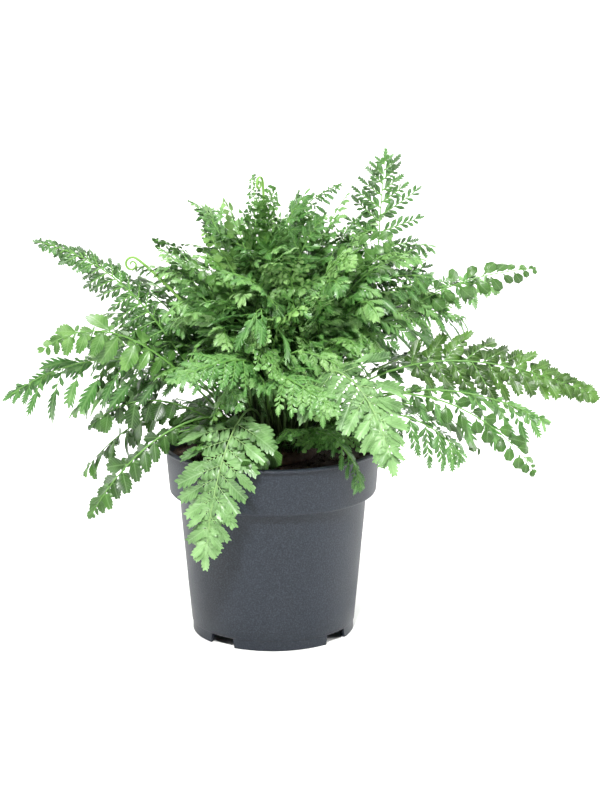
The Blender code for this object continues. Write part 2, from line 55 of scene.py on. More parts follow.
# ================================================================ pot
# A nursery pot, injection moulded in matte polypropylene: a rolled lip, a deep collar, a tapered body
# stepped in under it, and a foot ring cut into four feet, with drain holes in the floor above it.
POT_STEPS = 192
pot_low, pot_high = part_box("pot")
AXIS_X = (pot_low.x + pot_high.x) / 2
AXIS_Y = (pot_low.y + pot_high.y) / 2
RIM_RADIUS = (pot_high.x - pot_low.x) / 2
RIM_HEIGHT = pot_high.z


def arc(centre, radius, start, end, count):
    """Points (radius from the pot's axis, height) of an arc in the pot's profile."""
    points = []
    for k in range(count + 1):
        turn = math.radians(start + (end - start) * k / count)
        points.append((centre[0] + radius * math.cos(turn), centre[1] + radius * math.sin(turn)))
    return points


def select_only(*targets):
    """In object mode, selects these objects and nothing else; the last one is active."""
    bpy.ops.object.select_all(action="DESELECT")
    for target in targets:
        target.select_set(True)
        bpy.context.view_layer.objects.active = target


def turn_profile(name, profile, steps):
    """A ring extruded from one profile point to the next round the pot's axis, left in edit mode."""
    radius, height = profile[0]
    select_only()
    bpy.ops.mesh.primitive_circle_add(vertices=steps, radius=radius, location=(AXIS_X, AXIS_Y, height))
    made = bpy.context.object
    made.name = name
    bpy.ops.object.transform_apply()
    bpy.ops.object.mode_set(mode="EDIT")
    bpy.ops.mesh.select_all(action="SELECT")
    for next_radius, next_height in profile[1:]:
        rise = (0, 0, next_height - height)
        bpy.ops.mesh.extrude_region_move(TRANSFORM_OT_translate={"value": rise})
        grow = next_radius / radius
        bpy.ops.transform.resize(value=(grow, grow, 1), center_override=(AXIS_X, AXIS_Y, next_height))
        radius, height = next_radius, next_height
    return made


def select_vertices(target, test):
    """In edit mode, selects the vertices whose place passes the test, and nothing else."""
    shape = bmesh.from_edit_mesh(target.data)
    bpy.ops.mesh.select_all(action="DESELECT")
    for vertex in shape.verts:
        vertex.select = test(vertex.co)
    shape.select_flush(True)
    bmesh.update_edit_mesh(target.data)


def from_axis(point):
    """Distance from the pot's axis."""
    return math.hypot(point.x - AXIS_X, point.y - AXIS_Y)


def outward_faces():
    """Turns every face of the closed mesh out and leaves edit mode."""
    bpy.ops.mesh.select_all(action="SELECT")
    bpy.ops.mesh.normals_make_consistent(inside=False)
    bpy.ops.object.mode_set(mode="OBJECT")


def linear(code):
    """Linear colour with alpha of an sRGB hex code."""
    parts = [int(code[k:k + 2], 16) / 255 for k in (1, 3, 5)]
    return tuple(c / 12.92 if c <= 0.04045 else ((c + 0.055) / 1.055) ** 2.4 for c in parts) + (1.0,)


def add_node(tree, kind, inputs=None, **settings):
    """Adds a shader node with its settings; an input is a value or another node's output.

    Inputs go by name, or by number where names repeat: a colour Mix has its factor at 0 and its
    colours at 6 and 7.
    """
    made = tree.nodes.new(kind)
    for name, value in settings.items():
        setattr(made, name, value)
    for name, value in (inputs or {}).items():
        if isinstance(value, bpy.types.NodeSocket):
            tree.links.new(value, made.inputs[name])
        else:
            made.inputs[name].default_value = value
    return made


def new_material(name):
    """An empty node material and its tree."""
    made = bpy.data.materials.new(name)
    made.use_nodes = True
    made.node_tree.nodes.clear()
    return made, made.node_tree


def moulded_polypropylene():
    """Slate-grey polypropylene from an etched mould: matte, with a fine grain paler on its peaks."""
    made, tree = new_material("moulded_polypropylene")
    place = add_node(tree, "ShaderNodeTexCoord").outputs["Object"]
    grain = add_node(tree, "ShaderNodeTexNoise", {"Vector": place, "Scale": 1 / (0.9 * MM), "Detail": 3.0})
    cloud = add_node(tree, "ShaderNodeTexNoise", {"Vector": place, "Scale": 1 / (28 * MM), "Detail": 4.0})
    peaks = add_node(tree, "ShaderNodeMapRange", {"Value": grain.outputs["Fac"], "From Min": 0.42,
                                                  "From Max": 0.74})
    shade = add_node(tree, "ShaderNodeMix", {0: cloud.outputs["Fac"], 6: linear("#191e25"),
                                             7: linear("#20262f")}, data_type="RGBA")
    speckled = add_node(tree, "ShaderNodeMix", {0: peaks.outputs["Result"], 6: shade.outputs[2],
                                                7: linear("#2e343d")}, data_type="RGBA")
    gloss = add_node(tree, "ShaderNodeMapRange", {"Value": cloud.outputs["Fac"], "To Min": 0.42,
                                                  "To Max": 0.58})
    bump = add_node(tree, "ShaderNodeBump", {"Height": grain.outputs["Fac"], "Distance": 0.12 * MM,
                                             "Strength": 0.9})
    shader = add_node(tree, "ShaderNodeBsdfPrincipled", {
        "Base Color": speckled.outputs[2], "Roughness": gloss.outputs["Result"],
        "Normal": bump.outputs["Normal"], "IOR": 1.49, "Specular IOR Level": 0.30})
    add_node(tree, "ShaderNodeOutputMaterial", {"Surface": shader.outputs[0]})
    return made


LIP_EDGE = 0.9 * MM         # radius of the lip's outer and inner edge
LIP_DEPTH = 2.0 * MM
LIP_MIDDLE = RIM_HEIGHT - 1.1 * MM
COLLAR_HEIGHT = 30.8 * MM
COLLAR_SIDE = 23.5 * MM     # the collar's straight part
COLLAR_EDGE = 2.5 * MM      # radius of its lower edge
COLLAR_TAPER = 2.0 * MM
COLLAR_RINGS = 4
COLLAR_FOOT = RIM_HEIGHT - COLLAR_HEIGHT
COLLAR_TOP_RADIUS = RIM_RADIUS - 2.4 * MM
COLLAR_FOOT_RADIUS = COLLAR_TOP_RADIUS - COLLAR_TAPER
BODY_TAPER = 7.6 * MM
BODY_RINGS = 6
BODY_TOP_RADIUS = COLLAR_FOOT_RADIUS - 6.0 * MM
BODY_FOOT_RADIUS = BODY_TOP_RADIUS - BODY_TAPER
FOOT_HEIGHT = 6.7 * MM
FOOT_RADIUS = BODY_FOOT_RADIUS - 0.6 * MM
FOOT_WALL = 2.0 * MM
FOOT_EDGE = 0.5 * MM
FOOT_INNER_EDGE = 0.4 * MM
POT_WALL = 1.5 * MM
FLOOR_TOP = FOOT_HEIGHT + 1.8 * MM
DRAIN_RADIUS = 5.0 * MM
profile = [(DRAIN_RADIUS, FOOT_HEIGHT), (FOOT_RADIUS - FOOT_WALL - 0.6 * MM, FOOT_HEIGHT)]
profile += arc((FOOT_RADIUS - FOOT_WALL + FOOT_INNER_EDGE, FOOT_INNER_EDGE), FOOT_INNER_EDGE, 180, 270, 3)
profile += arc((FOOT_RADIUS - FOOT_EDGE, FOOT_EDGE), FOOT_EDGE, -90, 0, 4)
profile += [(FOOT_RADIUS, FOOT_HEIGHT - FOOT_EDGE), (FOOT_RADIUS + 0.15 * MM, FOOT_HEIGHT - 0.2 * MM),
            (BODY_FOOT_RADIUS - 0.2 * MM, FOOT_HEIGHT), (BODY_FOOT_RADIUS, FOOT_HEIGHT + 0.3 * MM)]
profile += [(BODY_FOOT_RADIUS + BODY_TAPER * k / BODY_RINGS,
             FOOT_HEIGHT + (COLLAR_FOOT - FOOT_HEIGHT) * k / BODY_RINGS) for k in range(1, BODY_RINGS)]
profile += [(BODY_TOP_RADIUS - 0.4 * MM, COLLAR_FOOT - 0.9 * MM), (BODY_TOP_RADIUS, COLLAR_FOOT - 0.2 * MM)]
profile += arc((COLLAR_FOOT_RADIUS - COLLAR_EDGE, COLLAR_FOOT + COLLAR_EDGE), COLLAR_EDGE, -86, 0, 8)
profile += [(COLLAR_FOOT_RADIUS + COLLAR_TAPER * k / COLLAR_RINGS,
             COLLAR_FOOT + COLLAR_EDGE + COLLAR_SIDE * k / COLLAR_RINGS) for k in range(1, COLLAR_RINGS + 1)]
profile += [(COLLAR_TOP_RADIUS + 0.1 * MM, RIM_HEIGHT - LIP_DEPTH - 0.2 * MM),
            (RIM_RADIUS - LIP_EDGE, RIM_HEIGHT - LIP_DEPTH)]
profile += arc((RIM_RADIUS - LIP_EDGE, LIP_MIDDLE), LIP_EDGE, -60, 90, 8)
profile += arc((COLLAR_TOP_RADIUS - POT_WALL + LIP_EDGE, LIP_MIDDLE), LIP_EDGE, 90, 180, 5)
profile += [(COLLAR_TOP_RADIUS - POT_WALL - 0.6 * MM, RIM_HEIGHT - 10 * MM),
            (COLLAR_FOOT_RADIUS - POT_WALL, COLLAR_FOOT + POT_WALL),
            (BODY_TOP_RADIUS - POT_WALL, COLLAR_FOOT + POT_WALL),
            (BODY_FOOT_RADIUS - POT_WALL, FLOOR_TOP + 0.5 * MM),
            (BODY_FOOT_RADIUS - POT_WALL - 0.5 * MM, FLOOR_TOP),
            (DRAIN_RADIUS, FLOOR_TOP)]
pot = turn_profile("nursery_pot", profile, POT_STEPS)
select_vertices(pot, lambda co: from_axis(co) < DRAIN_RADIUS + 0.1 * MM)
bpy.ops.mesh.bridge_edge_loops()
outward_faces()

FEET = 4
FIRST_NOTCH = -38.4         # degrees round the axis
NOTCH_SIZE = (14 * MM, 21.8 * MM, 12.4 * MM)
NOTCH_NARROW = 0.78         # its top, as a share of its foot
DRAIN_INSET = 11 * MM
for k in range(FEET):
    turn = math.radians(FIRST_NOTCH + 360 / FEET * k)
    out = Vector((math.cos(turn), math.sin(turn), 0))
    notch_place = Vector((AXIS_X, AXIS_Y, 0)) + out * FOOT_RADIUS
    select_only()
    bpy.ops.mesh.primitive_cube_add(size=1, location=notch_place)
    notch = bpy.context.object
    notch.scale = NOTCH_SIZE
    notch.rotation_euler = (0, 0, turn)
    bpy.ops.object.transform_apply()
    bpy.ops.object.mode_set(mode="EDIT")
    select_vertices(notch, lambda co: co.z > 0)
    bpy.ops.transform.resize(value=(NOTCH_NARROW, NOTCH_NARROW, 1), center_override=notch_place)
    bpy.ops.mesh.select_all(action="SELECT")
    bpy.ops.mesh.bevel(offset=0.7 * MM, segments=3)
    outward_faces()

    select_only()
    hole_place = Vector((AXIS_X, AXIS_Y, FOOT_HEIGHT)) + out * (FOOT_RADIUS - DRAIN_INSET)
    bpy.ops.mesh.primitive_cylinder_add(vertices=40, radius=DRAIN_RADIUS, depth=8 * MM, location=hole_place)
    hole = bpy.context.object
    bpy.ops.object.transform_apply()
    for cutter in (notch, hole):
        select_only(pot)
        step = pot.modifiers.new("cut", "BOOLEAN")
        step.object = cutter
        step.solver = "EXACT"
        bpy.ops.object.modifier_apply(modifier=step.name)
        bpy.data.objects.remove(cutter)
bpy.ops.object.shade_smooth_by_angle(angle=math.radians(40))
pot.data.materials.clear()
pot.data.materials.append(moulded_polypropylene())
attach(pot, "root")
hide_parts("pot")


# ================================================================ soil
# Moist sieved peat, pressed into the pot by hand: a near-black bed settled a little below the lip,
# lumpy between the crown and the wall, with loose crumbs and pale fibre flecks on it.
soil_low, soil_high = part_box("soil")
SOIL_TOP = 112.0 * MM
SOIL_RADIUS = (soil_high.x - soil_low.x) / 2 - 0.1 * MM
SOIL_RINGS = 40
BED_HOLE = 30 * MM          # radius of the bed's underside where one face closes it
CROWN_RADIUS = 29 * MM
CRUMB_COUNT = 900


def moist_peat():
    """Sieved peat, moist: near-black brown with rust-brown fibre flecks and almost no gloss."""
    made, tree = new_material("moist_peat")
    place = add_node(tree, "ShaderNodeTexCoord").outputs["Object"]
    lumps = add_node(tree, "ShaderNodeTexNoise", {"Vector": place, "Scale": 1 / (3.5 * MM), "Detail": 6.0,
                                                  "Roughness": 0.7})
    flecks = add_node(tree, "ShaderNodeTexVoronoi", {"Vector": place, "Scale": 1 / (1.4 * MM)})
    dark = add_node(tree, "ShaderNodeMix", {0: lumps.outputs["Fac"], 6: linear("#140d09"),
                                            7: linear("#453425")}, data_type="RGBA")
    fleck = add_node(tree, "ShaderNodeMapRange", {"Value": flecks.outputs["Distance"],
                                                  "From Min": 0.22, "From Max": 0.10})
    mixed = add_node(tree, "ShaderNodeMix", {0: fleck.outputs["Result"], 6: dark.outputs[2],
                                             7: linear("#8a6f50")}, data_type="RGBA")
    rough = add_node(tree, "ShaderNodeMapRange", {"Value": lumps.outputs["Fac"], "To Min": 0.75,
                                                  "To Max": 1.0})
    bump = add_node(tree, "ShaderNodeBump", {"Height": lumps.outputs["Fac"], "Distance": 0.8 * MM,
                                             "Strength": 1.0})
    shader = add_node(tree, "ShaderNodeBsdfPrincipled", {
        "Base Color": mixed.outputs[2], "Roughness": rough.outputs["Result"],
        "Normal": bump.outputs["Normal"], "IOR": 1.4})
    add_node(tree, "ShaderNodeOutputMaterial", {"Surface": shader.outputs[0]})
    return made


peat_material = moist_peat()
profile = [(BED_HOLE, FLOOR_TOP + 0.3 * MM), (BODY_FOOT_RADIUS - POT_WALL - 0.8 * MM, FLOOR_TOP + 0.3 * MM),
           (BODY_TOP_RADIUS - POT_WALL - 0.9 * MM, COLLAR_FOOT + 1.9 * MM),
           (COLLAR_FOOT_RADIUS - POT_WALL - 0.4 * MM, COLLAR_FOOT + 2.2 * MM)]
profile += [(SOIL_RADIUS * (1 - k / SOIL_RINGS), SOIL_TOP) for k in range(SOIL_RINGS)]
soil = turn_profile("peat_bed", profile, 96)
bpy.ops.mesh.merge(type="CENTER")
select_vertices(soil, lambda co: co.z < FLOOR_TOP + MM and from_axis(co) < BED_HOLE + MM)
bpy.ops.mesh.edge_face_add()
outward_faces()
for vertex in soil.data.vertices:
    if vertex.co.z > SOIL_TOP - MM:
        away = from_axis(vertex.co)
        free = max(0.0, min(1.0, min(SOIL_RADIUS - away + 2 * MM, away - CROWN_RADIUS) / (8 * MM)))
        lump = noise.fractal(vertex.co * 220, 0.6, 2.0, 4)
        vertex.co.z += MM * (0.3 + free * (0.5 + 1.1 * lump))
bpy.ops.object.shade_smooth_by_angle(angle=math.radians(70))
soil.data.materials.append(peat_material)
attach(soil, "root")
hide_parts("soil")

select_only()
bpy.ops.mesh.primitive_ico_sphere_add(subdivisions=1, radius=1)
crumb = bpy.context.object
bpy.ops.object.mode_set(mode="EDIT")
bpy.ops.mesh.select_all(action="SELECT")
bpy.ops.transform.vertex_random(offset=0.35, seed=4)
bpy.ops.transform.resize(value=(1, 0.8, 0.6))
bpy.ops.object.mode_set(mode="OBJECT")
crumb_points = np.array([v.co for v in crumb.data.vertices])
crumb_faces = np.array([list(p.vertices) for p in crumb.data.polygons])
bpy.data.objects.remove(crumb)
chance = random.Random(5)
points, faces = [], []
for k in range(CRUMB_COUNT):
    away = math.sqrt(chance.uniform((CROWN_RADIUS - 2 * MM) ** 2, (SOIL_RADIUS - 2 * MM) ** 2))
    turn = chance.uniform(0, 2 * math.pi)
    size = 0.5 * MM + 1.3 * MM * chance.random() ** 2.5
    spin = chance.uniform(0, 2 * math.pi)
    tip = chance.uniform(-0.6, 0.6)
    about_z = np.array([[math.cos(spin), -math.sin(spin), 0], [math.sin(spin), math.cos(spin), 0], [0, 0, 1]])
    about_x = np.array([[1, 0, 0], [0, math.cos(tip), -math.sin(tip)], [0, math.sin(tip), math.cos(tip)]])
    where = (AXIS_X + away * math.cos(turn), AXIS_Y + away * math.sin(turn), SOIL_TOP + 0.8 * MM)
    faces.append(crumb_faces + len(crumb_points) * k)
    points.append(crumb_points @ about_x.T @ about_z.T * size + np.array(where))
mesh = bpy.data.meshes.new("peat_crumbs")
mesh.from_pydata(np.concatenate(points).tolist(), [], np.concatenate(faces).tolist())
crumbs = bpy.data.objects.new("peat_crumbs", mesh)
bpy.context.scene.collection.objects.link(crumbs)
mesh.materials.append(peat_material)
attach(crumbs, "root")


# ================================================================ crown
# The rootstock: a low knobbly dome, brown and woody, half sunk in the peat, from which every frond
# springs. It is the frame's own shape, smoothed and then roughened above the soil.
def scaly_bark():
    """Rootstock bark: dull brown, darker in its furrows, with a dry fibrous skin."""
    made, tree = new_material("rootstock_bark")
    place = add_node(tree, "ShaderNodeTexCoord").outputs["Object"]
    fibre = add_node(tree, "ShaderNodeTexNoise", {"Vector": place, "Scale": 1 / (2.2 * MM), "Detail": 5.0})
    colour = add_node(tree, "ShaderNodeMix", {0: fibre.outputs["Fac"], 6: linear("#140c07"),
                                              7: linear("#4a3422")}, data_type="RGBA")
    bump = add_node(tree, "ShaderNodeBump", {"Height": fibre.outputs["Fac"], "Distance": 0.5 * MM})
    shader = add_node(tree, "ShaderNodeBsdfPrincipled", {
        "Base Color": colour.outputs[2], "Roughness": 0.85, "Normal": bump.outputs["Normal"], "IOR": 1.45})
    add_node(tree, "ShaderNodeOutputMaterial", {"Surface": shader.outputs[0]})
    return made


def smoothed_copy(node, name):
    """The CAD node's mesh as a new object, its loose triangles merged and then subdivided."""
    made = bpy.data.objects.new(name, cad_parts[node].data.copy())
    bpy.context.scene.collection.objects.link(made)
    made.data.materials.clear()
    select_only(made)
    bpy.ops.object.mode_set(mode="EDIT")
    bpy.ops.mesh.select_all(action="SELECT")
    bpy.ops.mesh.remove_doubles(threshold=0.01 * MM)
    bpy.ops.object.mode_set(mode="OBJECT")
    smooth = made.modifiers.new("smooth", "SUBSURF")
    smooth.levels = 2
    smooth.render_levels = 2
    bpy.ops.object.modifier_apply(modifier=smooth.name)
    return made


crown = smoothed_copy("crown", "rootstock")
for vertex in crown.data.vertices:
    if vertex.co.z > SOIL_TOP + 2 * MM:
        vertex.co += vertex.normal * MM * 0.9 * noise.fractal(vertex.co * 300, 0.7, 2.0, 3)
bpy.ops.object.shade_smooth()
crown.data.materials.append(scaly_bark())
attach(crown, "root")
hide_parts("crown")
CROWN_TOP = Vector((AXIS_X, AXIS_Y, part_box("crown")[1].z))


# ================================================================ fronds: how one is grown
# A frond is a thin living sheet: a round stalk that tapers into the midrib, pinnae on both sides,
# and on most of them smaller lobes again. Its leaf shape is modelled once and copied along it.
RUNG_WIDTH = 2.0 * MM       # the CAD stem strip's width, by which its rungs are found
SHEET_THICKNESS = 0.8 * MM
STIPE_RUNGS = 5             # the strip's first rungs carry no pinnae
STEM_SUNK = 3.0 * MM        # how far a stem's foot goes into the crown
RUNG_SAMPLES = 8


def stem_line(node):
    """The middles and sides of a stem's rungs, from the crown out, and the CAD frond's half width."""
    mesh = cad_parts[node].data
    raw = np.array([v.co for v in mesh.vertices])
    keys, index = np.unique(np.round(raw / (0.005 * MM)).astype(int), axis=0, return_inverse=True)
    index = index.reshape(-1)
    places = np.zeros((len(keys), 3))
    places[index] = raw
    edges = {tuple(sorted((index[e.vertices[0]], index[e.vertices[1]]))) for e in mesh.edges}
    edges = [e for e in edges if e[0] != e[1]]
    sheet = {}
    middles = []
    for a, b in edges:
        if abs(np.linalg.norm(places[a] - places[b]) - SHEET_THICKNESS) < 0.004 * MM:
            sheet[a] = sheet[b] = len(middles)
            middles.append((places[a] + places[b]) / 2)
    links = {tuple(sorted((sheet[a], sheet[b]))) for a, b in edges
             if a in sheet and b in sheet and sheet[a] != sheet[b]}
    rungs = [pair for pair in sorted(links)
             if abs(np.linalg.norm(middles[pair[0]] - middles[pair[1]]) - RUNG_WIDTH) < 0.02 * MM]
    rung_of = {}
    for k, (a, b) in enumerate(rungs):
        rung_of[a] = rung_of[b] = k
    beside = {k: set() for k in range(len(rungs))}
    for a, b in links:
        if a in rung_of and b in rung_of and rung_of[a] != rung_of[b]:
            beside[rung_of[a]].add(rung_of[b])
            beside[rung_of[b]].add(rung_of[a])
    centre = [(middles[a] + middles[b]) / 2 for a, b in rungs]
    ends = [k for k in beside if len(beside[k]) == 1]
    here = min(ends, key=lambda k: (Vector(centre[k]) - CROWN_TOP).length)
    order = [here]
    while True:
        ahead = [k for k in beside[order[-1]] if k not in order]
        if not ahead:
            break
        order.append(ahead[0])
    points = np.array([centre[k] for k in order])
    heading = points[-1] - points[0]
    side = np.array([-heading[1], heading[0], 0.0])
    sides = []
    for k in order:
        across = middles[rungs[k][0]] - middles[rungs[k][1]]
        across /= np.linalg.norm(across)
        side = across if np.dot(across, side) > 0 else -across
        sides.append(side)
    rest = np.array(middles)
    away = np.linalg.norm(rest[:, None] - points[None], axis=2).min(axis=1)
    return points, np.array(sides), float(away.max())


def finished_line(point, tangent, side):
    """A line's samples, with the share of its length at each, and the length."""
    steps = np.linalg.norm(np.diff(point, axis=0), axis=1)
    along = np.concatenate([[0], np.cumsum(steps)])
    return {"share": along / along[-1], "point": point, "tangent": tangent, "side": side,
            "length": along[-1]}


def smooth_line(points, sides):
    """A fine line through the rungs, with a tangent and side at each of its samples."""
    first = points[0] - (points[1] - points[0]) / np.linalg.norm(points[1] - points[0]) * STEM_SUNK
    knots = np.vstack([first, points])
    cross = np.vstack([sides[0], sides])
    padded = np.vstack([2 * knots[0] - knots[1], knots, 2 * knots[-1] - knots[-2]])
    fine, fine_side = [], []
    for k in range(len(knots) - 1):
        a, b, c, d = padded[k:k + 4]
        for t in np.linspace(0, 1, RUNG_SAMPLES, endpoint=False):
            fine.append(0.5 * (2 * b + (c - a) * t + (2 * a - 5 * b + 4 * c - d) * t * t
                               + (3 * b - a - 3 * c + d) * t ** 3))
            fine_side.append(cross[k] * (1 - t) + cross[k + 1] * t)
    fine.append(knots[-1])
    fine_side.append(cross[-1])
    fine = np.array(fine)
    tangent = np.gradient(fine, axis=0)
    tangent /= np.linalg.norm(tangent, axis=1)[:, None]
    side = np.array(fine_side)
    side -= tangent * np.sum(side * tangent, axis=1)[:, None]
    side /= np.linalg.norm(side, axis=1)[:, None]
    return finished_line(fine, tangent, side)


def on_line(line, share):
    """Point, tangent, side and up at a share of the line."""
    values = [np.array([np.interp(share, line["share"], line[key][:, axis]) for axis in range(3)])
              for key in ("point", "tangent", "side")]
    tangent = values[1] / np.linalg.norm(values[1])
    side = values[2] / np.linalg.norm(values[2])
    return values[0], tangent, side, np.cross(tangent, side)


def select_near(target, places, reach):
    """In edit mode, selects the vertices within reach of any of the places."""
    select_vertices(target, lambda co: any((co - place).length < reach for place in places))


def points_and_faces(target):
    """A finished template's points and faces; its object is removed."""
    points = np.array([v.co for v in target.data.vertices])
    faces = [list(p.vertices) for p in target.data.polygons]
    bpy.data.objects.remove(target)
    return points, faces


# A leaf shape is modelled a unit long, so these are shares of its length.
BLADE_SKIN = 0.014
LOBE_SKIN = 0.05
LEAF_REACH = 0.001          # how near a vertex has to be to count as the one meant
LOBE_LEAN = 0.25            # how far a lobe leans to the tip, in columns
LOBE_EDGE = 0.4             # share of the waist's slant that a lobe's outer edge keeps


def flat_strip(half_widths):
    """A grid a unit long along +X, made as wide as asked column by column, left in edit mode."""
    columns = len(half_widths) - 1
    select_only()
    bpy.ops.mesh.primitive_grid_add(x_subdivisions=columns, y_subdivisions=2, size=1, location=(0.5, 0, 0))
    strip = bpy.context.object
    bpy.ops.object.transform_apply()
    bpy.ops.object.mode_set(mode="EDIT")
    for k, half in enumerate(half_widths):
        x = k / columns
        select_vertices(strip, lambda co: abs(co.x - x) < 0.1 / columns)
        bpy.ops.transform.resize(value=(1, 2 * half, 1), center_override=(x, 0, 0))
    return strip


def model_blade(waists, lobes, forward, fold, lobe_tip=0.5, rounded=False):
    """A cut blade a unit long along +X, for the end of a pinna.

    A strip as wide as the notches is laid first. A lobe is drawn out between each pair of notches
    on both sides, pushed forward and narrowed; then it is folded along its midrib and thickened.
    """
    columns = len(waists) - 1
    blade = flat_strip(waists)
    for k, lobe in enumerate(lobes):
        if lobe:
            for hand in (1, -1):
                near = Vector((k / columns, hand * waists[k], 0))
                far = Vector(((k + 1) / columns, hand * waists[k + 1], 0))
                select_near(blade, (near, far), LEAF_REACH)
                move = Vector((forward * lobe + LOBE_LEAN / columns, hand * lobe, 0))
                middle = (near + far) / 2
                for share, narrow in ((0.6, 1.0), (0.4, lobe_tip)) if rounded else ((1.0, lobe_tip),):
                    middle += move * share
                    bpy.ops.mesh.extrude_region_move(TRANSFORM_OT_translate={"value": move * share})
                    bpy.ops.transform.resize(value=(narrow, LOBE_EDGE, 1), center_override=middle)
    bpy.ops.mesh.select_all(action="SELECT")
    bpy.ops.mesh.normals_make_consistent(inside=False)
    shape = bmesh.from_edit_mesh(blade.data)
    if sum(face.normal.z for face in shape.faces) < 0:
        bpy.ops.mesh.flip_normals()
    for vertex in shape.verts:
        vertex.co.z = fold * abs(vertex.co.y) * (1 - abs(vertex.co.y))
    bpy.ops.object.mode_set(mode="OBJECT")
    skin = blade.modifiers.new("thickness", "SOLIDIFY")
    skin.thickness = BLADE_SKIN
    bpy.ops.object.modifier_apply(modifier=skin.name)
    return points_and_faces(blade)


def model_lobe(half_widths, forward=0.0, dome=0.05):
    """A small lobe a unit long along +X: a domed strip with a scalloped edge, closed underneath."""
    columns = len(half_widths) - 1
    lobe = flat_strip(half_widths)
    for k in range(2, columns):
        x, half = k / columns, half_widths[k]
        select_near(lobe, (Vector((x, half, 0)), Vector((x, -half, 0))), LEAF_REACH)
        bpy.ops.transform.translate(value=(forward * (1 if k % 2 else -1) / columns, 0, 0))
    select_vertices(lobe, lambda co: abs(co.y) < 0.0005 and 0.01 < co.x < 0.99)
    bpy.ops.transform.translate(value=(0, 0, dome))
    bpy.ops.mesh.select_all(action="SELECT")
    bpy.ops.mesh.duplicate()
    bpy.ops.mesh.flip_normals()
    shape = bmesh.from_edit_mesh(lobe.data)
    for vertex in shape.verts:
        vertex.select = vertex.select and not vertex.is_boundary
    shape.select_flush(False)
    bmesh.update_edit_mesh(lobe.data)
    bpy.ops.transform.translate(value=(0, 0, -LOBE_SKIN))
    bpy.ops.mesh.select_all(action="SELECT")
    bpy.ops.mesh.remove_doubles(threshold=0.002)
    bpy.ops.object.mode_set(mode="OBJECT")
    return points_and_faces(lobe)


MOTTLE = 0.8                # how far the mottling shifts a leaf's tone
VEIN_PITCH = 0.07           # between side veins, as a share of the leaf's length
VEIN_SLANT = -1.1
VEIN_SHOW = 0.22
LIGHT_THROUGH = 0.13


def living_leaf(name, shade, body, fresh, vein, seed):
    """A soft fern blade: waxy semi-gloss that lets some light through, with paler veins.

    The tone attribute, set leaf by leaf, runs from the old shaded green to the fresh one.
    """
    made, tree = new_material(name)
    place = add_node(tree, "ShaderNodeTexCoord").outputs
    tone = add_node(tree, "ShaderNodeAttribute", attribute_name="tone").outputs["Fac"]
    mottle = add_node(tree, "ShaderNodeTexNoise", {"Vector": place["Object"], "Scale": 1 / (7 * MM),
                                                   "Detail": 3.0, "W": seed}, noise_dimensions="4D")
    spread = add_node(tree, "ShaderNodeMath", {0: mottle.outputs["Fac"], 1: 0.5}, operation="SUBTRACT")
    shifted = add_node(tree, "ShaderNodeMath", {0: spread.outputs[0], 1: MOTTLE, 2: tone},
                       operation="MULTIPLY_ADD")
    ramp = add_node(tree, "ShaderNodeValToRGB", {"Fac": shifted.outputs[0]})
    ramp.color_ramp.elements[0].position = 0.08
    ramp.color_ramp.elements[0].color = linear(shade)
    ramp.color_ramp.elements[1].position = 0.92
    ramp.color_ramp.elements[1].color = linear(fresh)
    ramp.color_ramp.elements.new(0.5).color = linear(body)
    sheet = add_node(tree, "ShaderNodeSeparateXYZ", {"Vector": place["UV"]})
    middle = add_node(tree, "ShaderNodeMath", {0: sheet.outputs["Y"], 1: 0.5}, operation="SUBTRACT")
    aside = add_node(tree, "ShaderNodeMath", {0: middle.outputs[0]}, operation="ABSOLUTE")
    slant = add_node(tree, "ShaderNodeMath", {0: aside.outputs[0], 1: VEIN_SLANT, 2: sheet.outputs["X"]},
                     operation="MULTIPLY_ADD")
    repeat = add_node(tree, "ShaderNodeMath", {0: slant.outputs[0], 1: VEIN_PITCH}, operation="PINGPONG")
    side_vein = add_node(tree, "ShaderNodeMapRange", {"Value": repeat.outputs[0], "From Min": 0.016,
                                                      "From Max": 0.0})
    midrib = add_node(tree, "ShaderNodeMapRange", {"Value": aside.outputs[0], "From Min": 0.035,
                                                   "From Max": 0.005})
    veins = add_node(tree, "ShaderNodeMath", {0: side_vein.outputs[0], 1: midrib.outputs[0]},
                     operation="MAXIMUM")
    faint = add_node(tree, "ShaderNodeMath", {0: veins.outputs[0], 1: VEIN_SHOW}, operation="MULTIPLY")
    colour = add_node(tree, "ShaderNodeMix", {0: faint.outputs[0], 6: ramp.outputs["Color"],
                                              7: linear(vein)}, data_type="RGBA")
    rough = add_node(tree, "ShaderNodeMapRange", {"Value": mottle.outputs["Fac"], "To Min": 0.26,
                                                  "To Max": 0.44})
    bump = add_node(tree, "ShaderNodeBump", {"Height": veins.outputs[0], "Distance": 0.12 * MM,
                                             "Strength": 0.8})
    shader = add_node(tree, "ShaderNodeBsdfPrincipled", {
        "Base Color": colour.outputs[2], "Roughness": rough.outputs["Result"],
        "Normal": bump.outputs["Normal"], "IOR": 1.5})
    through = add_node(tree, "ShaderNodeBsdfTranslucent", {"Color": colour.outputs[2]})
    both = add_node(tree, "ShaderNodeMixShader", {0: LIGHT_THROUGH, 1: shader.outputs[0],
                                                  2: through.outputs[0]})
    add_node(tree, "ShaderNodeOutputMaterial", {"Surface": both.outputs[0]})
    return made


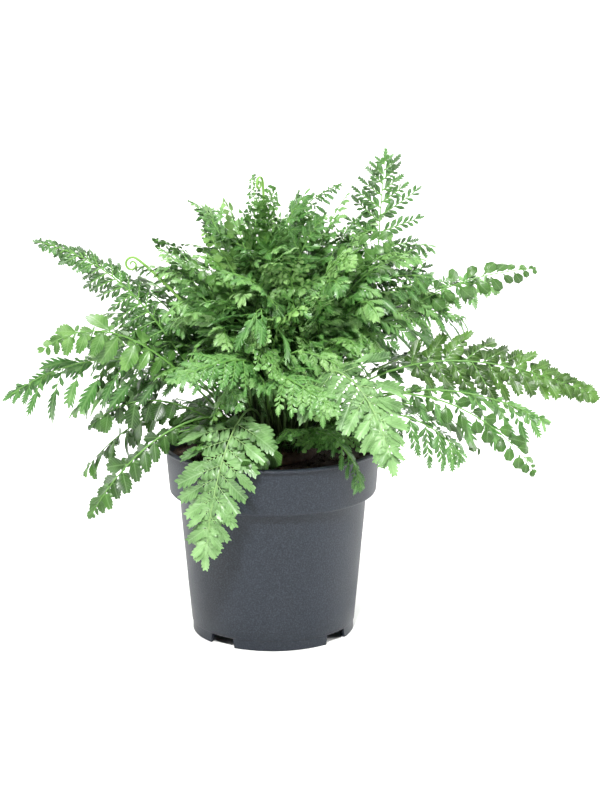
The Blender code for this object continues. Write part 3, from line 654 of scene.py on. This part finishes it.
def living_stem(name, old, young):
    """A fern stalk: smooth and slightly waxy, pale green above and browner near the crown."""
    made, tree = new_material(name)
    place = add_node(tree, "ShaderNodeTexCoord").outputs["Object"]
    streak = add_node(tree, "ShaderNodeTexNoise", {"Vector": place, "Scale": 1 / (1.5 * MM), "Detail": 2.0})
    away = add_node(tree, "ShaderNodeVectorMath", {0: place, 1: CROWN_TOP}, operation="DISTANCE")
    low = add_node(tree, "ShaderNodeMapRange", {"Value": away.outputs["Value"], "From Min": 22 * MM,
                                                "From Max": 62 * MM})
    blend = add_node(tree, "ShaderNodeMath", {0: streak.outputs["Fac"], 1: 0.35, 2: low.outputs[0]},
                     operation="MULTIPLY_ADD")
    colour = add_node(tree, "ShaderNodeMix", {0: blend.outputs[0], 6: linear(old), 7: linear(young)},
                      data_type="RGBA", clamp_factor=True)
    bump = add_node(tree, "ShaderNodeBump", {"Height": streak.outputs["Fac"], "Distance": 0.06 * MM})
    shader = add_node(tree, "ShaderNodeBsdfPrincipled", {
        "Base Color": colour.outputs[2], "Roughness": 0.45, "Normal": bump.outputs["Normal"], "IOR": 1.42})
    add_node(tree, "ShaderNodeOutputMaterial", {"Surface": shader.outputs[0]})
    return made


def copy_leaves(name, leaf, places, material):
    """One mesh object with the modelled leaf copied to every place."""
    points, faces = leaf
    origin, along, up, size, wide, bend, twist, tone = (
        np.array([place[key] for place in places])
        for key in ("at", "along", "up", "length", "wide", "bend", "twist", "tone"))
    across = np.cross(up, along)
    across /= np.linalg.norm(across, axis=1)[:, None]
    up = np.cross(along, across)
    x, y, z = points.T
    rise = z[None] * wide[:, None] - bend[:, None] * (x * x)[None] + twist[:, None] * (x * y)[None]
    arrays = (origin[:, None] + along[:, None] * (x[None] * size[:, None])[..., None]
              + across[:, None] * (y[None] * (size * wide)[:, None])[..., None]
              + up[:, None] * (size[:, None] * rise)[..., None])
    count = len(points)
    corner = np.concatenate([np.array(f) for f in faces])
    sizes = np.array([len(f) for f in faces])
    loops = (corner[None] + count * np.arange(len(places))[:, None]).reshape(-1)
    totals = np.tile(sizes, len(places))
    mesh = bpy.data.meshes.new(name)
    mesh.vertices.add(count * len(places))
    mesh.vertices.foreach_set("co", arrays.reshape(-1))
    mesh.loops.add(len(loops))
    mesh.loops.foreach_set("vertex_index", loops)
    mesh.polygons.add(len(totals))
    mesh.polygons.foreach_set("loop_start", np.concatenate([[0], np.cumsum(totals)[:-1]]))
    mesh.polygons.foreach_set("loop_total", totals)
    mesh.update(calc_edges=True)
    flat = mesh.uv_layers.new(name="leaf_uv")
    uv = np.stack([x, 0.5 + y], axis=1)
    flat.data.foreach_set("uv", uv[np.tile(corner, len(places))].reshape(-1))
    shade = mesh.attributes.new("tone", "FLOAT", "POINT")
    shade.data.foreach_set("value", np.repeat(tone, count))
    mesh.shade_smooth()
    mesh.set_sharp_from_angle(angle=math.radians(50))
    mesh.materials.append(material)
    made = bpy.data.objects.new(name, mesh)
    bpy.context.scene.collection.objects.link(made)
    return made


def round_stalks(name, stalks, material):
    """One mesh of tapered round stalks, each a list of points with a radius at each."""
    curve = bpy.data.curves.new(name, "CURVE")
    curve.dimensions = "3D"
    curve.bevel_depth = 1.0
    curve.bevel_resolution = 1
    curve.use_fill_caps = True
    for points, radii in stalks:
        spline = curve.splines.new("POLY")
        spline.points.add(len(points) - 1)
        for knot, place, radius in zip(spline.points, points, radii):
            knot.co = (*place, 1.0)
            knot.radius = radius
    made = bpy.data.objects.new(name, curve)
    bpy.context.scene.collection.objects.link(made)
    select_only(made)
    bpy.ops.object.convert(target="MESH")
    made.data.materials.clear()
    made.data.materials.append(material)
    made.data.shade_smooth()
    return made


def pinna_spread(share, peak, taper):
    """Length of a pinna along the blade, as a share of the longest."""
    if share < peak:
        return 0.62 + 0.38 * math.sin(0.5 * math.pi * share / peak)
    return 0.12 + 0.88 * (1 - ((share - peak) / (1 - peak)) ** taper)


def rotated(vector, axis, turn):
    """A vector turned about a unit axis."""
    return (vector * math.cos(turn) + np.cross(axis, vector) * math.sin(turn)
            + axis * np.dot(axis, vector) * (1 - math.cos(turn)))


def unit(vector):
    """The vector made a unit long."""
    return vector / np.linalg.norm(vector)


def square_to(vector, axis):
    """The part of a vector that is square to a unit axis, made a unit long."""
    return unit(vector - axis * np.dot(vector, axis))


DOWN = np.array([0.0, 0.0, -1.0])
SHORTEST_STALK = 1.5 * MM
BLADE_END = 0.985           # share of the stem at which the last leaf stands


def grow_pinna(root, out, ahead, up, reach, habit, tone, chance, parts):
    """One pinna: a thin stalk that sags, pairs of small lobes along it, and a cut blade at its end."""
    grown = min(1.0, reach / habit["full_reach"])
    sag = habit["sag"] * grown * chance.uniform(0.5, 1.5)
    sweep = habit["sweep"] * chance.uniform(0.5, 1.5)
    split = habit["split"] * grown
    pairs = round(habit["pairs"] * grown)
    bend = ahead * sweep + DOWN * sag

    def place_on(v):
        return root + out * reach * v + bend * reach * v * v

    if split * reach > SHORTEST_STALK:
        samples = [split * k / 4 for k in range(5)]
        parts["stalks"].append(([place_on(v) for v in samples],
                                [habit["rib"] * (1 - 0.5 * v) for v in samples]))
    for k in range(pairs):
        for hand in (1, -1):
            v = split * (k + 0.45 + (0.35 if hand > 0 else 0.0)) / pairs
            line = unit(out + 2 * bend * v)
            over = square_to(up, line)
            side = np.cross(over, line) * hand
            slant = math.radians(habit["lobe_slant"] + chance.uniform(-8, 8))
            along = unit(line * math.cos(slant) + side * math.sin(slant) + DOWN * 0.15)
            face = rotated(square_to(over, along), along, math.radians(chance.uniform(-25, 25)))
            size = habit["lobe_length"] * (0.55 + 0.45 * grown) * (1 - 0.4 * k / pairs)
            size *= chance.uniform(0.85, 1.15)
            parts["lobes"].append({
                "at": place_on(v), "along": along, "up": face, "length": size,
                "wide": habit["lobe_wide"] * chance.uniform(0.9, 1.1), "bend": chance.uniform(-0.05, 0.3),
                "twist": chance.uniform(-0.5, 0.5),
                "tone": tone + chance.uniform(-0.08, 0.08)})
    line = unit(out + 2 * bend * split)
    face = rotated(square_to(up, line), line, math.radians(chance.uniform(-20, 20)))
    length = reach * (1 - split) * 1.04
    parts["blades"].append({
        "at": place_on(split), "along": line, "up": face, "length": length,
        "wide": habit["blade_wide"] * chance.uniform(0.85, 1.15),
        "bend": sag * 0.8 + chance.uniform(-0.05, 0.2), "twist": chance.uniform(-0.7, 0.7), "tone": tone})


def grow_frond(name, line, start, half_width, habit, chance, age=0.0):
    """The whole frond as one piece: stalk, pinnae and lobes, along its line.

    A habit holds the modelled blade and lobe, their materials and the frond's ways. slant is a
    pinna's angle to the stem in degrees at foot and tip; split is the share of a pinna that has
    lobes in pairs, the rest being its blade; full_reach is the pinna length at which all of them show.
    """
    parts = {"stalks": [], "lobes": [], "blades": []}
    length = line["length"]
    own_tone = chance.uniform(*habit["tones"]) - age
    shares = np.linspace(0, 1, 26)
    stem = [on_line(line, share)[0] for share in shares]
    thick = habit["stem"]
    parts["stalks"].append((stem, [thick * (1 - 0.78 * share ** 1.3) for share in shares]))
    share = start
    while share < BLADE_END:
        along_blade = (share - start) / (1 - start)
        reach = half_width * pinna_spread(along_blade, habit["peak"], habit["taper"])
        spacing = habit["spacing"] * (0.30 + 0.70 * reach / half_width) / length
        for hand in (1, -1):
            at_share = min(share + (0.0 if hand > 0 else habit["stagger"] * spacing), 0.995)
            point, tangent, side, up = on_line(line, at_share)
            slant = math.radians(habit["slant"][0] * (1 - along_blade) + habit["slant"][1] * along_blade
                                 + chance.uniform(-6, 6))
            out = tangent * math.cos(slant) + side * hand * math.sin(slant)
            out = rotated(out, tangent, math.radians(chance.uniform(-20, 20) - habit["cup"] * hand))
            out = unit(out + DOWN * habit["droop"] * chance.uniform(0.5, 1.4))
            tone = own_tone + 0.20 * along_blade + chance.uniform(-0.14, 0.14)
            full = reach / max(0.62, math.sin(slant)) * chance.uniform(0.82, 1.12)
            grow_pinna(point, out, tangent, square_to(up, out), full, habit, tone, chance, parts)
        share += spacing * chance.uniform(0.85, 1.15)
    point, tangent, side, up = on_line(line, BLADE_END)
    parts["blades"].append({"at": point, "along": tangent, "up": up, "length": half_width * 0.30,
                            "wide": 1.0, "bend": 0.1, "twist": 0.2, "tone": own_tone + 0.25})
    blade = copy_leaves(name, habit["blade"], parts["blades"], habit["leaf"])
    pieces = [round_stalks(name + "_stalks", parts["stalks"], habit["stalk"])]
    if parts["lobes"]:
        pieces.append(copy_leaves(name + "_lobes", habit["lobe"], parts["lobes"], habit["leaf"]))
    select_only(*pieces, blade)
    bpy.ops.object.join()
    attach(blade, "root")
    return blade


def grow_on_nodes(style, habit, seed, special):
    """Grows a frond on every CAD node of a style; special gives some, by number, a habit of their own."""
    for node in sorted(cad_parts):
        if not node.startswith(style + "_frond"):
            continue
        points, sides, measured = stem_line(node)
        line = smooth_line(points, sides)
        bare = np.linalg.norm(np.diff(points[:STIPE_RUNGS + 1], axis=0), axis=1).sum() + STEM_SUNK
        number = int(node[-2:])
        own = special.get(number, habit)
        half_width = own["half_width"] if number in special else max(measured, own["half_width"])
        frond = grow_frond(node + "_blade", line, bare / line["length"], half_width, own,
                           random.Random(seed + number))
        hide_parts(node)


green_stem = living_stem("green_stalk", "#2c2c14", "#5d8a3e")


# ================================================================ broad fronds
# The widest fronds: each pinna is a long saw-edged blade with a few loose spoon-shaped lobes at its
# foot, so close that neighbours overlap. Soft sage green, partly the leaf's own colour and partly painted
# sheen: its greyed paleness stands in for the whitish gloss of the waxy leaves.
pale_stem = living_stem("pale_stalk", "#4f6a3a", "#7fa162")
BROAD = dict(
    blade=model_blade((0.02, 0.10, 0.12, 0.12, 0.10, 0.04), (0.08, 0.145, 0.15, 0.13, 0.09), forward=0.6,
                      fold=0.45, lobe_tip=0.55, rounded=True),
    lobe=model_lobe((0.05, 0.12, 0.23, 0.31, 0.36, 0.24), forward=0.25, dome=0.08),
    # painted sheen: these pale, greyed sage colours stand in partly for the whitish gloss of the waxy blades
    leaf=living_leaf("broad_blade", "#335728", "#76a060", "#a0c68a", "#b8d8a4", 2.0),
    stalk=pale_stem, slot="broad_blade", half_width=24 * MM, peak=0.18, taper=1.25, spacing=11.0 * MM,
    stagger=0.35, slant=(74, 46), cup=4, stem=0.85 * MM, tones=(0.24, 0.38), droop=0.10,
    full_reach=30 * MM, sag=0.14, sweep=0.08, split=0.48, pairs=4, rib=0.28 * MM,
    lobe_length=9.5 * MM, lobe_wide=0.95, lobe_slant=58, blade_wide=0.95)
OPEN_BROAD = dict(
    BROAD, taper=0.9, spacing=12.5 * MM, slant=(64, 40), pairs=5, tones=(0.10, 0.20), droop=0.05, cup=0,
    full_reach=28 * MM, half_width=25 * MM, split=0.66, lobe_length=8.0 * MM, lobe_wide=1.2,
    blade_wide=1.2, rib=0.36 * MM, lobe_slant=44, stalk=green_stem,
    leaf=living_leaf("open_blade", "#26450f", "#5c8836", "#8fb763", "#aacb84", 6.0))
PLATE_BROAD = dict(
    BROAD, half_width=37 * MM, peak=0.08, taper=1.0, cup=0, spacing=9.5 * MM, pairs=6,
    full_reach=40 * MM, split=0.62, lobe_length=8.5 * MM, tones=(0.28, 0.32))
grow_on_nodes("broad", BROAD, 200, {1: PLATE_BROAD, 2: dict(PLATE_BROAD, half_width=34 * MM), 3: OPEN_BROAD})


# ================================================================ leaflet fronds
# Once-divided fronds: separate rhombic leaflets on short stalks that hang from the arching midrib,
# toothed from the middle on. Mid green, thin enough for the light to show through.
LEAFLET = dict(
    blade=model_blade((0.012, 0.15, 0.235, 0.25, 0.215, 0.14, 0.02),
                      (0.0, 0.045, 0.055, 0.055, 0.05, 0.04), forward=0.8, fold=0.40, lobe_tip=0.6),
    lobe=model_lobe((0.015, 0.12, 0.26, 0.33, 0.30, 0.12), forward=0.25, dome=0.08),
    leaf=living_leaf("leaflet_blade", "#1c3d0b", "#446f2b", "#7aa556", "#a2c688", 4.0),
    stalk=green_stem, slot="leaflet_blade", half_width=17 * MM, peak=0.35, taper=1.8,
    spacing=11.5 * MM, stagger=0.5, slant=(72, 48), cup=8, stem=0.9 * MM, tones=(0.25, 0.58),
    droop=0.55, full_reach=18 * MM, sag=0.12, sweep=0.0, split=0.12, pairs=1, rib=0.35 * MM,
    lobe_length=5.5 * MM, lobe_wide=1.0, lobe_slant=60, blade_wide=1.05)
FAN = dict(
    LEAFLET, blade=model_lobe((0.03, 0.08, 0.25, 0.40, 0.40, 0.20), forward=0.5, dome=0.10),
    half_width=10.0 * MM, taper=3.2, spacing=10.0 * MM, slant=(66, 46), full_reach=10 * MM,
    droop=0.20, pairs=0, blade_wide=0.95, tones=(0.22, 0.42))
SMALL_FAN = dict(FAN, half_width=7.5 * MM, spacing=6.5 * MM, full_reach=7.5 * MM)
HANGING = dict(LEAFLET, half_width=14 * MM, spacing=9.0 * MM, full_reach=15 * MM, tones=(0.05, 0.20),
               blade_wide=1.2)
grow_on_nodes("leaflet", LEAFLET, 400, {2: HANGING, 3: HANGING, 4: FAN, 5: FAN, 6: FAN, 7: FAN, 8: FAN})


# ================================================================ comb fronds
# Stiffer fronds: each pinna has a bare stalk with small lobes, then a narrow blade cut like a comb
# whose teeth point to its tip. Deeper, slightly bluish green.
COMB = dict(
    blade=model_blade((0.012, 0.055, 0.065, 0.065, 0.055, 0.045, 0.012),
                      (0.075, 0.095, 0.10, 0.09, 0.075, 0.0), forward=1.3, fold=0.25),
    lobe=model_lobe((0.05, 0.10, 0.17, 0.22, 0.20, 0.02), forward=0.2),
    leaf=living_leaf("comb_blade", "#1b3f10", "#437432", "#79a95c", "#a2c888", 3.0),
    stalk=green_stem, slot="comb_blade", half_width=25 * MM, peak=0.25, taper=2.2, spacing=14.0 * MM,
    stagger=0.45, slant=(54, 24), cup=8, stem=0.9 * MM, tones=(0.25, 0.50), droop=0.60,
    full_reach=21 * MM, sag=0.20, sweep=0.12, split=0.40, pairs=2, rib=0.32 * MM,
    lobe_length=6.5 * MM, lobe_wide=1.0, lobe_slant=40, blade_wide=1.15)
SMALL_COMB = dict(COMB, half_width=11 * MM, spacing=7.5 * MM, full_reach=12 * MM, lobe_length=3.5 * MM)
grow_on_nodes("comb", COMB, 300, {3: SMALL_COMB, 4: dict(SMALL_COMB, half_width=16 * MM), 5: SMALL_COMB})


# ================================================================ lace fronds
# The finest fronds: pinnae like small feathers, with many narrow strap-shaped lobes set at an acute
# angle and a slim cut tip. Light green.
LACE = dict(
    blade=model_blade((0.012, 0.05, 0.06, 0.05, 0.04, 0.012),
                      (0.08, 0.12, 0.11, 0.08, 0.0), forward=1.1, fold=0.2),
    lobe=model_lobe((0.05, 0.08, 0.13, 0.18, 0.16, 0.05), forward=0.3),
    leaf=living_leaf("lace_blade", "#1e4312", "#4b7f38", "#85ae68", "#acd08e", 1.0),
    stalk=green_stem, slot="lace_blade", half_width=21 * MM, peak=0.28, taper=1.7, spacing=11.5 * MM,
    stagger=0.40, slant=(64, 40), cup=8, stem=0.9 * MM, tones=(0.18, 0.45), droop=0.18,
    full_reach=21 * MM, sag=0.32, sweep=0.16, split=0.64, pairs=5, rib=0.30 * MM,
    lobe_length=7.8 * MM, lobe_wide=1.1, lobe_slant=38, blade_wide=1.4)
FRONT_LACE = dict(
    LACE, spacing=8.5 * MM, tones=(0.34, 0.48), pairs=6, split=0.74, lobe_length=5.8 * MM,
    lobe_wide=1.6, lobe_slant=54, half_width=19 * MM, droop=0.0, rib=0.36 * MM)
OPEN_LACE = dict(
    LACE, half_width=32 * MM, slant=(74, 50), split=0.80, pairs=6, droop=0.02, full_reach=30 * MM,
    sag=0.10, lobe_length=7.5 * MM, lobe_wide=1.2, blade_wide=1.0, tones=(0.10, 0.16), rib=0.5 * MM)
SMALL_LACE = dict(LACE, half_width=15 * MM, spacing=8.5 * MM, full_reach=16 * MM, lobe_length=5.0 * MM,
                  lobe_wide=1.3)
SPARSE_LACE = dict(
    LACE, half_width=22 * MM, taper=1.1, peak=0.12, spacing=8.8 * MM, split=0.80, pairs=5, droop=0.35,
    lobe_length=6.8 * MM, lobe_wide=1.3, blade_wide=1.2, tones=(0.0, 0.10), rib=0.5 * MM)
grow_on_nodes("lace", LACE, 100, {
    1: SPARSE_LACE, 2: FRONT_LACE, 3: FRONT_LACE, 5: OPEN_LACE,
    6: dict(OPEN_LACE, half_width=15 * MM, spacing=9.0 * MM, full_reach=18 * MM)})


# ================================================================ spoon fronds
# Young fronds of the middle: short pinnae with pairs of small round lobes on thin stalks, and one
# round lobe at the end of each. Fresh, rather bright green.
SPOON = dict(
    blade=model_lobe((0.015, 0.06, 0.14, 0.30, 0.36, 0.24), forward=0.1),
    lobe=model_lobe((0.05, 0.08, 0.20, 0.34, 0.38, 0.22), dome=0.08),
    leaf=living_leaf("spoon_blade", "#204a12", "#528538", "#86b066", "#b0d492", 5.0),
    stalk=green_stem, slot="spoon_blade", half_width=15 * MM, peak=0.35, taper=1.8, spacing=8.4 * MM,
    stagger=0.45, slant=(62, 42), cup=8, stem=0.85 * MM, tones=(0.22, 0.48), droop=0.12,
    full_reach=14 * MM, sag=0.14, sweep=0.12, split=0.72, pairs=3, rib=0.30 * MM,
    lobe_length=4.8 * MM, lobe_wide=1.0, lobe_slant=52, blade_wide=1.1)
THIN_SPOON = dict(SPOON, half_width=10 * MM, full_reach=11 * MM, lobe_length=4.2 * MM, tones=(0.05, 0.12))
grow_on_nodes("spoon", SPOON, 500, {3: THIN_SPOON})


# ================================================================ inner fronds
# The plant's heart: many short fronds between the long ones, which close the tuft down to the soil.
# Each is a living frond that rises from the crown and arches over; they are young and old, so some
# are fresh green and some dark.
ARCH_SAMPLES = 40


def arching_line(foot, tip, lift, sway, roll):
    """A line that rises from the foot and arches over to the tip; its blade is rolled about it."""
    chord = tip - foot
    level = unit(np.cross(np.array([0.0, 0.0, 1.0]), chord))
    middle = foot + chord * 0.35 + np.array([0, 0, lift]) + level * sway
    share = np.linspace(0, 1, ARCH_SAMPLES)[:, None]
    point = foot * (1 - share) ** 2 + middle * 2 * share * (1 - share) + tip * share ** 2
    tangent = (middle - foot) * 2 * (1 - share) + (tip - middle) * 2 * share
    tangent /= np.linalg.norm(tangent, axis=1)[:, None]
    side = np.array([rotated(square_to(level, line), line, roll) for line in tangent])
    return finished_line(point, tangent, side)


AXIS_FOOT = np.array([AXIS_X, AXIS_Y, 0])
GOLDEN_TURN = 137.5         # degrees from one frond to the next, so that none hides another
INNER = (SMALL_LACE, SMALL_FAN, SPOON, SMALL_LACE, SPOON, LACE)
INNER_COUNT = 155
INNER_SPREAD = 126 * MM
INNER_RISE = 164 * MM
INNER_BARE = 0.48           # share of the stem below the first pinna
INNER_WIDTH = 17 * MM
FRONT_SHARE = 0.62          # fronds at the front are shorter, because the broad ones lie over them
for k in range(INNER_COUNT):
    chance = random.Random(900 + k)
    habit = INNER[k % len(INNER)]
    heading = math.radians(GOLDEN_TURN * k)
    outward = np.array([math.cos(heading), math.sin(heading), 0])
    share = ((k + 0.5) / INNER_COUNT) ** 0.6
    front = FRONT_SHARE if outward[1] < -0.12 else 1.0
    dome = math.sqrt(1 - (0.86 * share) ** 2)
    base = AXIS_FOOT + outward * 14 * MM * share
    base[2] = CROWN_TOP.z - 6 * MM
    tip = AXIS_FOOT + outward * ((0.10 + 0.90 * share) * INNER_SPREAD * front)
    tip[2] = SOIL_TOP + 10 * MM + INNER_RISE * dome * chance.uniform(0.58 if share < 0.5 else 0.32, 1.0)
    line = arching_line(base, tip, chance.uniform(55, 105) * MM, chance.uniform(-45, 45) * MM,
                        math.radians(chance.uniform(-50, 50)))
    width = min(habit["half_width"], INNER_WIDTH) * chance.uniform(0.8, 1.1)
    grow_frond(f"inner_frond_{k + 1:03d}", line, INNER_BARE, width, habit, chance,
               age=chance.uniform(-0.42, 0.15))


# ================================================================ low fronds
# Small fronds that spread flat over the soil all round the crown: young leaflets that hide the
# rootstock. They are living sheets like the rest and grow from the crown's edge.
LOW = (SPOON, FAN, SPOON)
LOW_COUNT = 27
LOW_BARE = 0.14
LOW_WIDTH = 13 * MM
for k in range(LOW_COUNT):
    chance = random.Random(1200 + k)
    habit = LOW[k % len(LOW)]
    heading = math.radians(GOLDEN_TURN * k + 20)
    outward = np.array([math.cos(heading), math.sin(heading), 0])
    base = AXIS_FOOT + outward * 22 * MM
    base[2] = SOIL_TOP + 6 * MM
    tip = AXIS_FOOT + outward * chance.uniform(48, 78) * MM
    tip[2] = SOIL_TOP + chance.uniform(14, 34) * MM
    line = arching_line(base, tip, chance.uniform(16, 26) * MM, chance.uniform(-6, 6) * MM,
                        math.radians(chance.uniform(-30, 30)))
    grow_frond(f"low_frond_{k + 1:02d}", line, LOW_BARE, LOW_WIDTH, habit, chance,
               age=chance.uniform(-0.15, 0.20))


# ================================================================ croziers
# Young fronds still rolled up: a soft round stalk that ends in a coil, pale yellow-green. They grow
# from the crown; each is the frame's own coil, smoothed.
young_stem = living_stem("crozier_stalk", "#5b5a28", "#6f9a45")
for k in range(1, 4):
    node = f"crozier_{k:02d}"
    crozier = smoothed_copy(node, node + "_shoot")
    bpy.ops.object.shade_smooth()
    crozier.data.materials.append(young_stem)
    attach(crozier, "root")
    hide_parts(node)


# ================================================================ stage, light and camera
# A plain floor of pale matte paper, under soft studio light from the front, above and both sides.
# The background is lit from behind the object and stays dim in front of it.
select_only()
bpy.ops.mesh.primitive_plane_add(size=12, location=(0, 0, 0))
floor = bpy.context.object
floor.name = "studio_floor"
paper, tree = new_material("pale_paper")    # unprinted paper: white, without any gloss
shader = add_node(tree, "ShaderNodeBsdfPrincipled", {"Base Color": linear("#f4f4f2"), "Roughness": 0.9})
add_node(tree, "ShaderNodeOutputMaterial", {"Surface": shader.outputs[0]})
floor.data.materials.append(paper)

world = bpy.data.worlds.new("studio")
world.use_nodes = True
tree = world.node_tree
tree.nodes.clear()
heading = add_node(tree, "ShaderNodeSeparateXYZ", {
    "Vector": add_node(tree, "ShaderNodeTexCoord").outputs["Generated"]})
behind = add_node(tree, "ShaderNodeMapRange", {"Value": heading.outputs["Y"], "From Min": -0.75,
                                               "From Max": 0.60, "To Min": 0.03, "To Max": 0.28})
backdrop = add_node(tree, "ShaderNodeBackground", {"Color": linear("#ffffff"),
                                                   "Strength": behind.outputs["Result"]})
add_node(tree, "ShaderNodeOutputWorld", {"Surface": backdrop.outputs[0]})
bpy.context.scene.world = world
bpy.context.scene.view_settings.view_transform = "Standard"


def softbox(name, place, aim, size, power):
    """A square area light that faces a point."""
    light = bpy.data.lights.new(name, "AREA")
    light.size = size
    light.energy = power
    made = bpy.data.objects.new(name, light)
    made.location = place
    made.rotation_mode = "QUATERNION"
    made.rotation_quaternion = (Vector(aim) - Vector(place)).to_track_quat("-Z", "Y")
    bpy.context.scene.collection.objects.link(made)


softbox("key", (-0.12, -1.25, 1.35), (0, 0, 0.15), 0.20, 50)
softbox("left", (-1.3, 0.3, 0.5), (0, 0, 0.12), 0.8, 12)
softbox("right", (1.3, 0.3, 0.5), (0, 0, 0.12), 0.8, 23)
softbox("top", (-0.2, -0.2, 2.0), (0, 0, 0.2), 0.3, 22)
softbox("backdrop", (0, 4.0, 2.2), (0, 4.0, 0), 3.5, 320)

CAMERA_ASIDE = 17.2 * MM
CAMERA_AWAY = 1.5
CAMERA_HEIGHT = 0.505
CAMERA_TILT = 0.233         # radians below the level
camera_data = bpy.data.cameras.new("camera")
camera_data.lens = 110.1
camera_data.sensor_width = 36
camera_data.clip_start = 0.05
camera_data.clip_end = 50
camera = bpy.data.objects.new("camera", camera_data)
camera.location = (AXIS_X + CAMERA_ASIDE, AXIS_Y - CAMERA_AWAY, CAMERA_HEIGHT)
camera.rotation_euler = (math.pi / 2 - CAMERA_TILT, 0, 0)
bpy.context.scene.collection.objects.link(camera)
bpy.context.scene.camera = camera
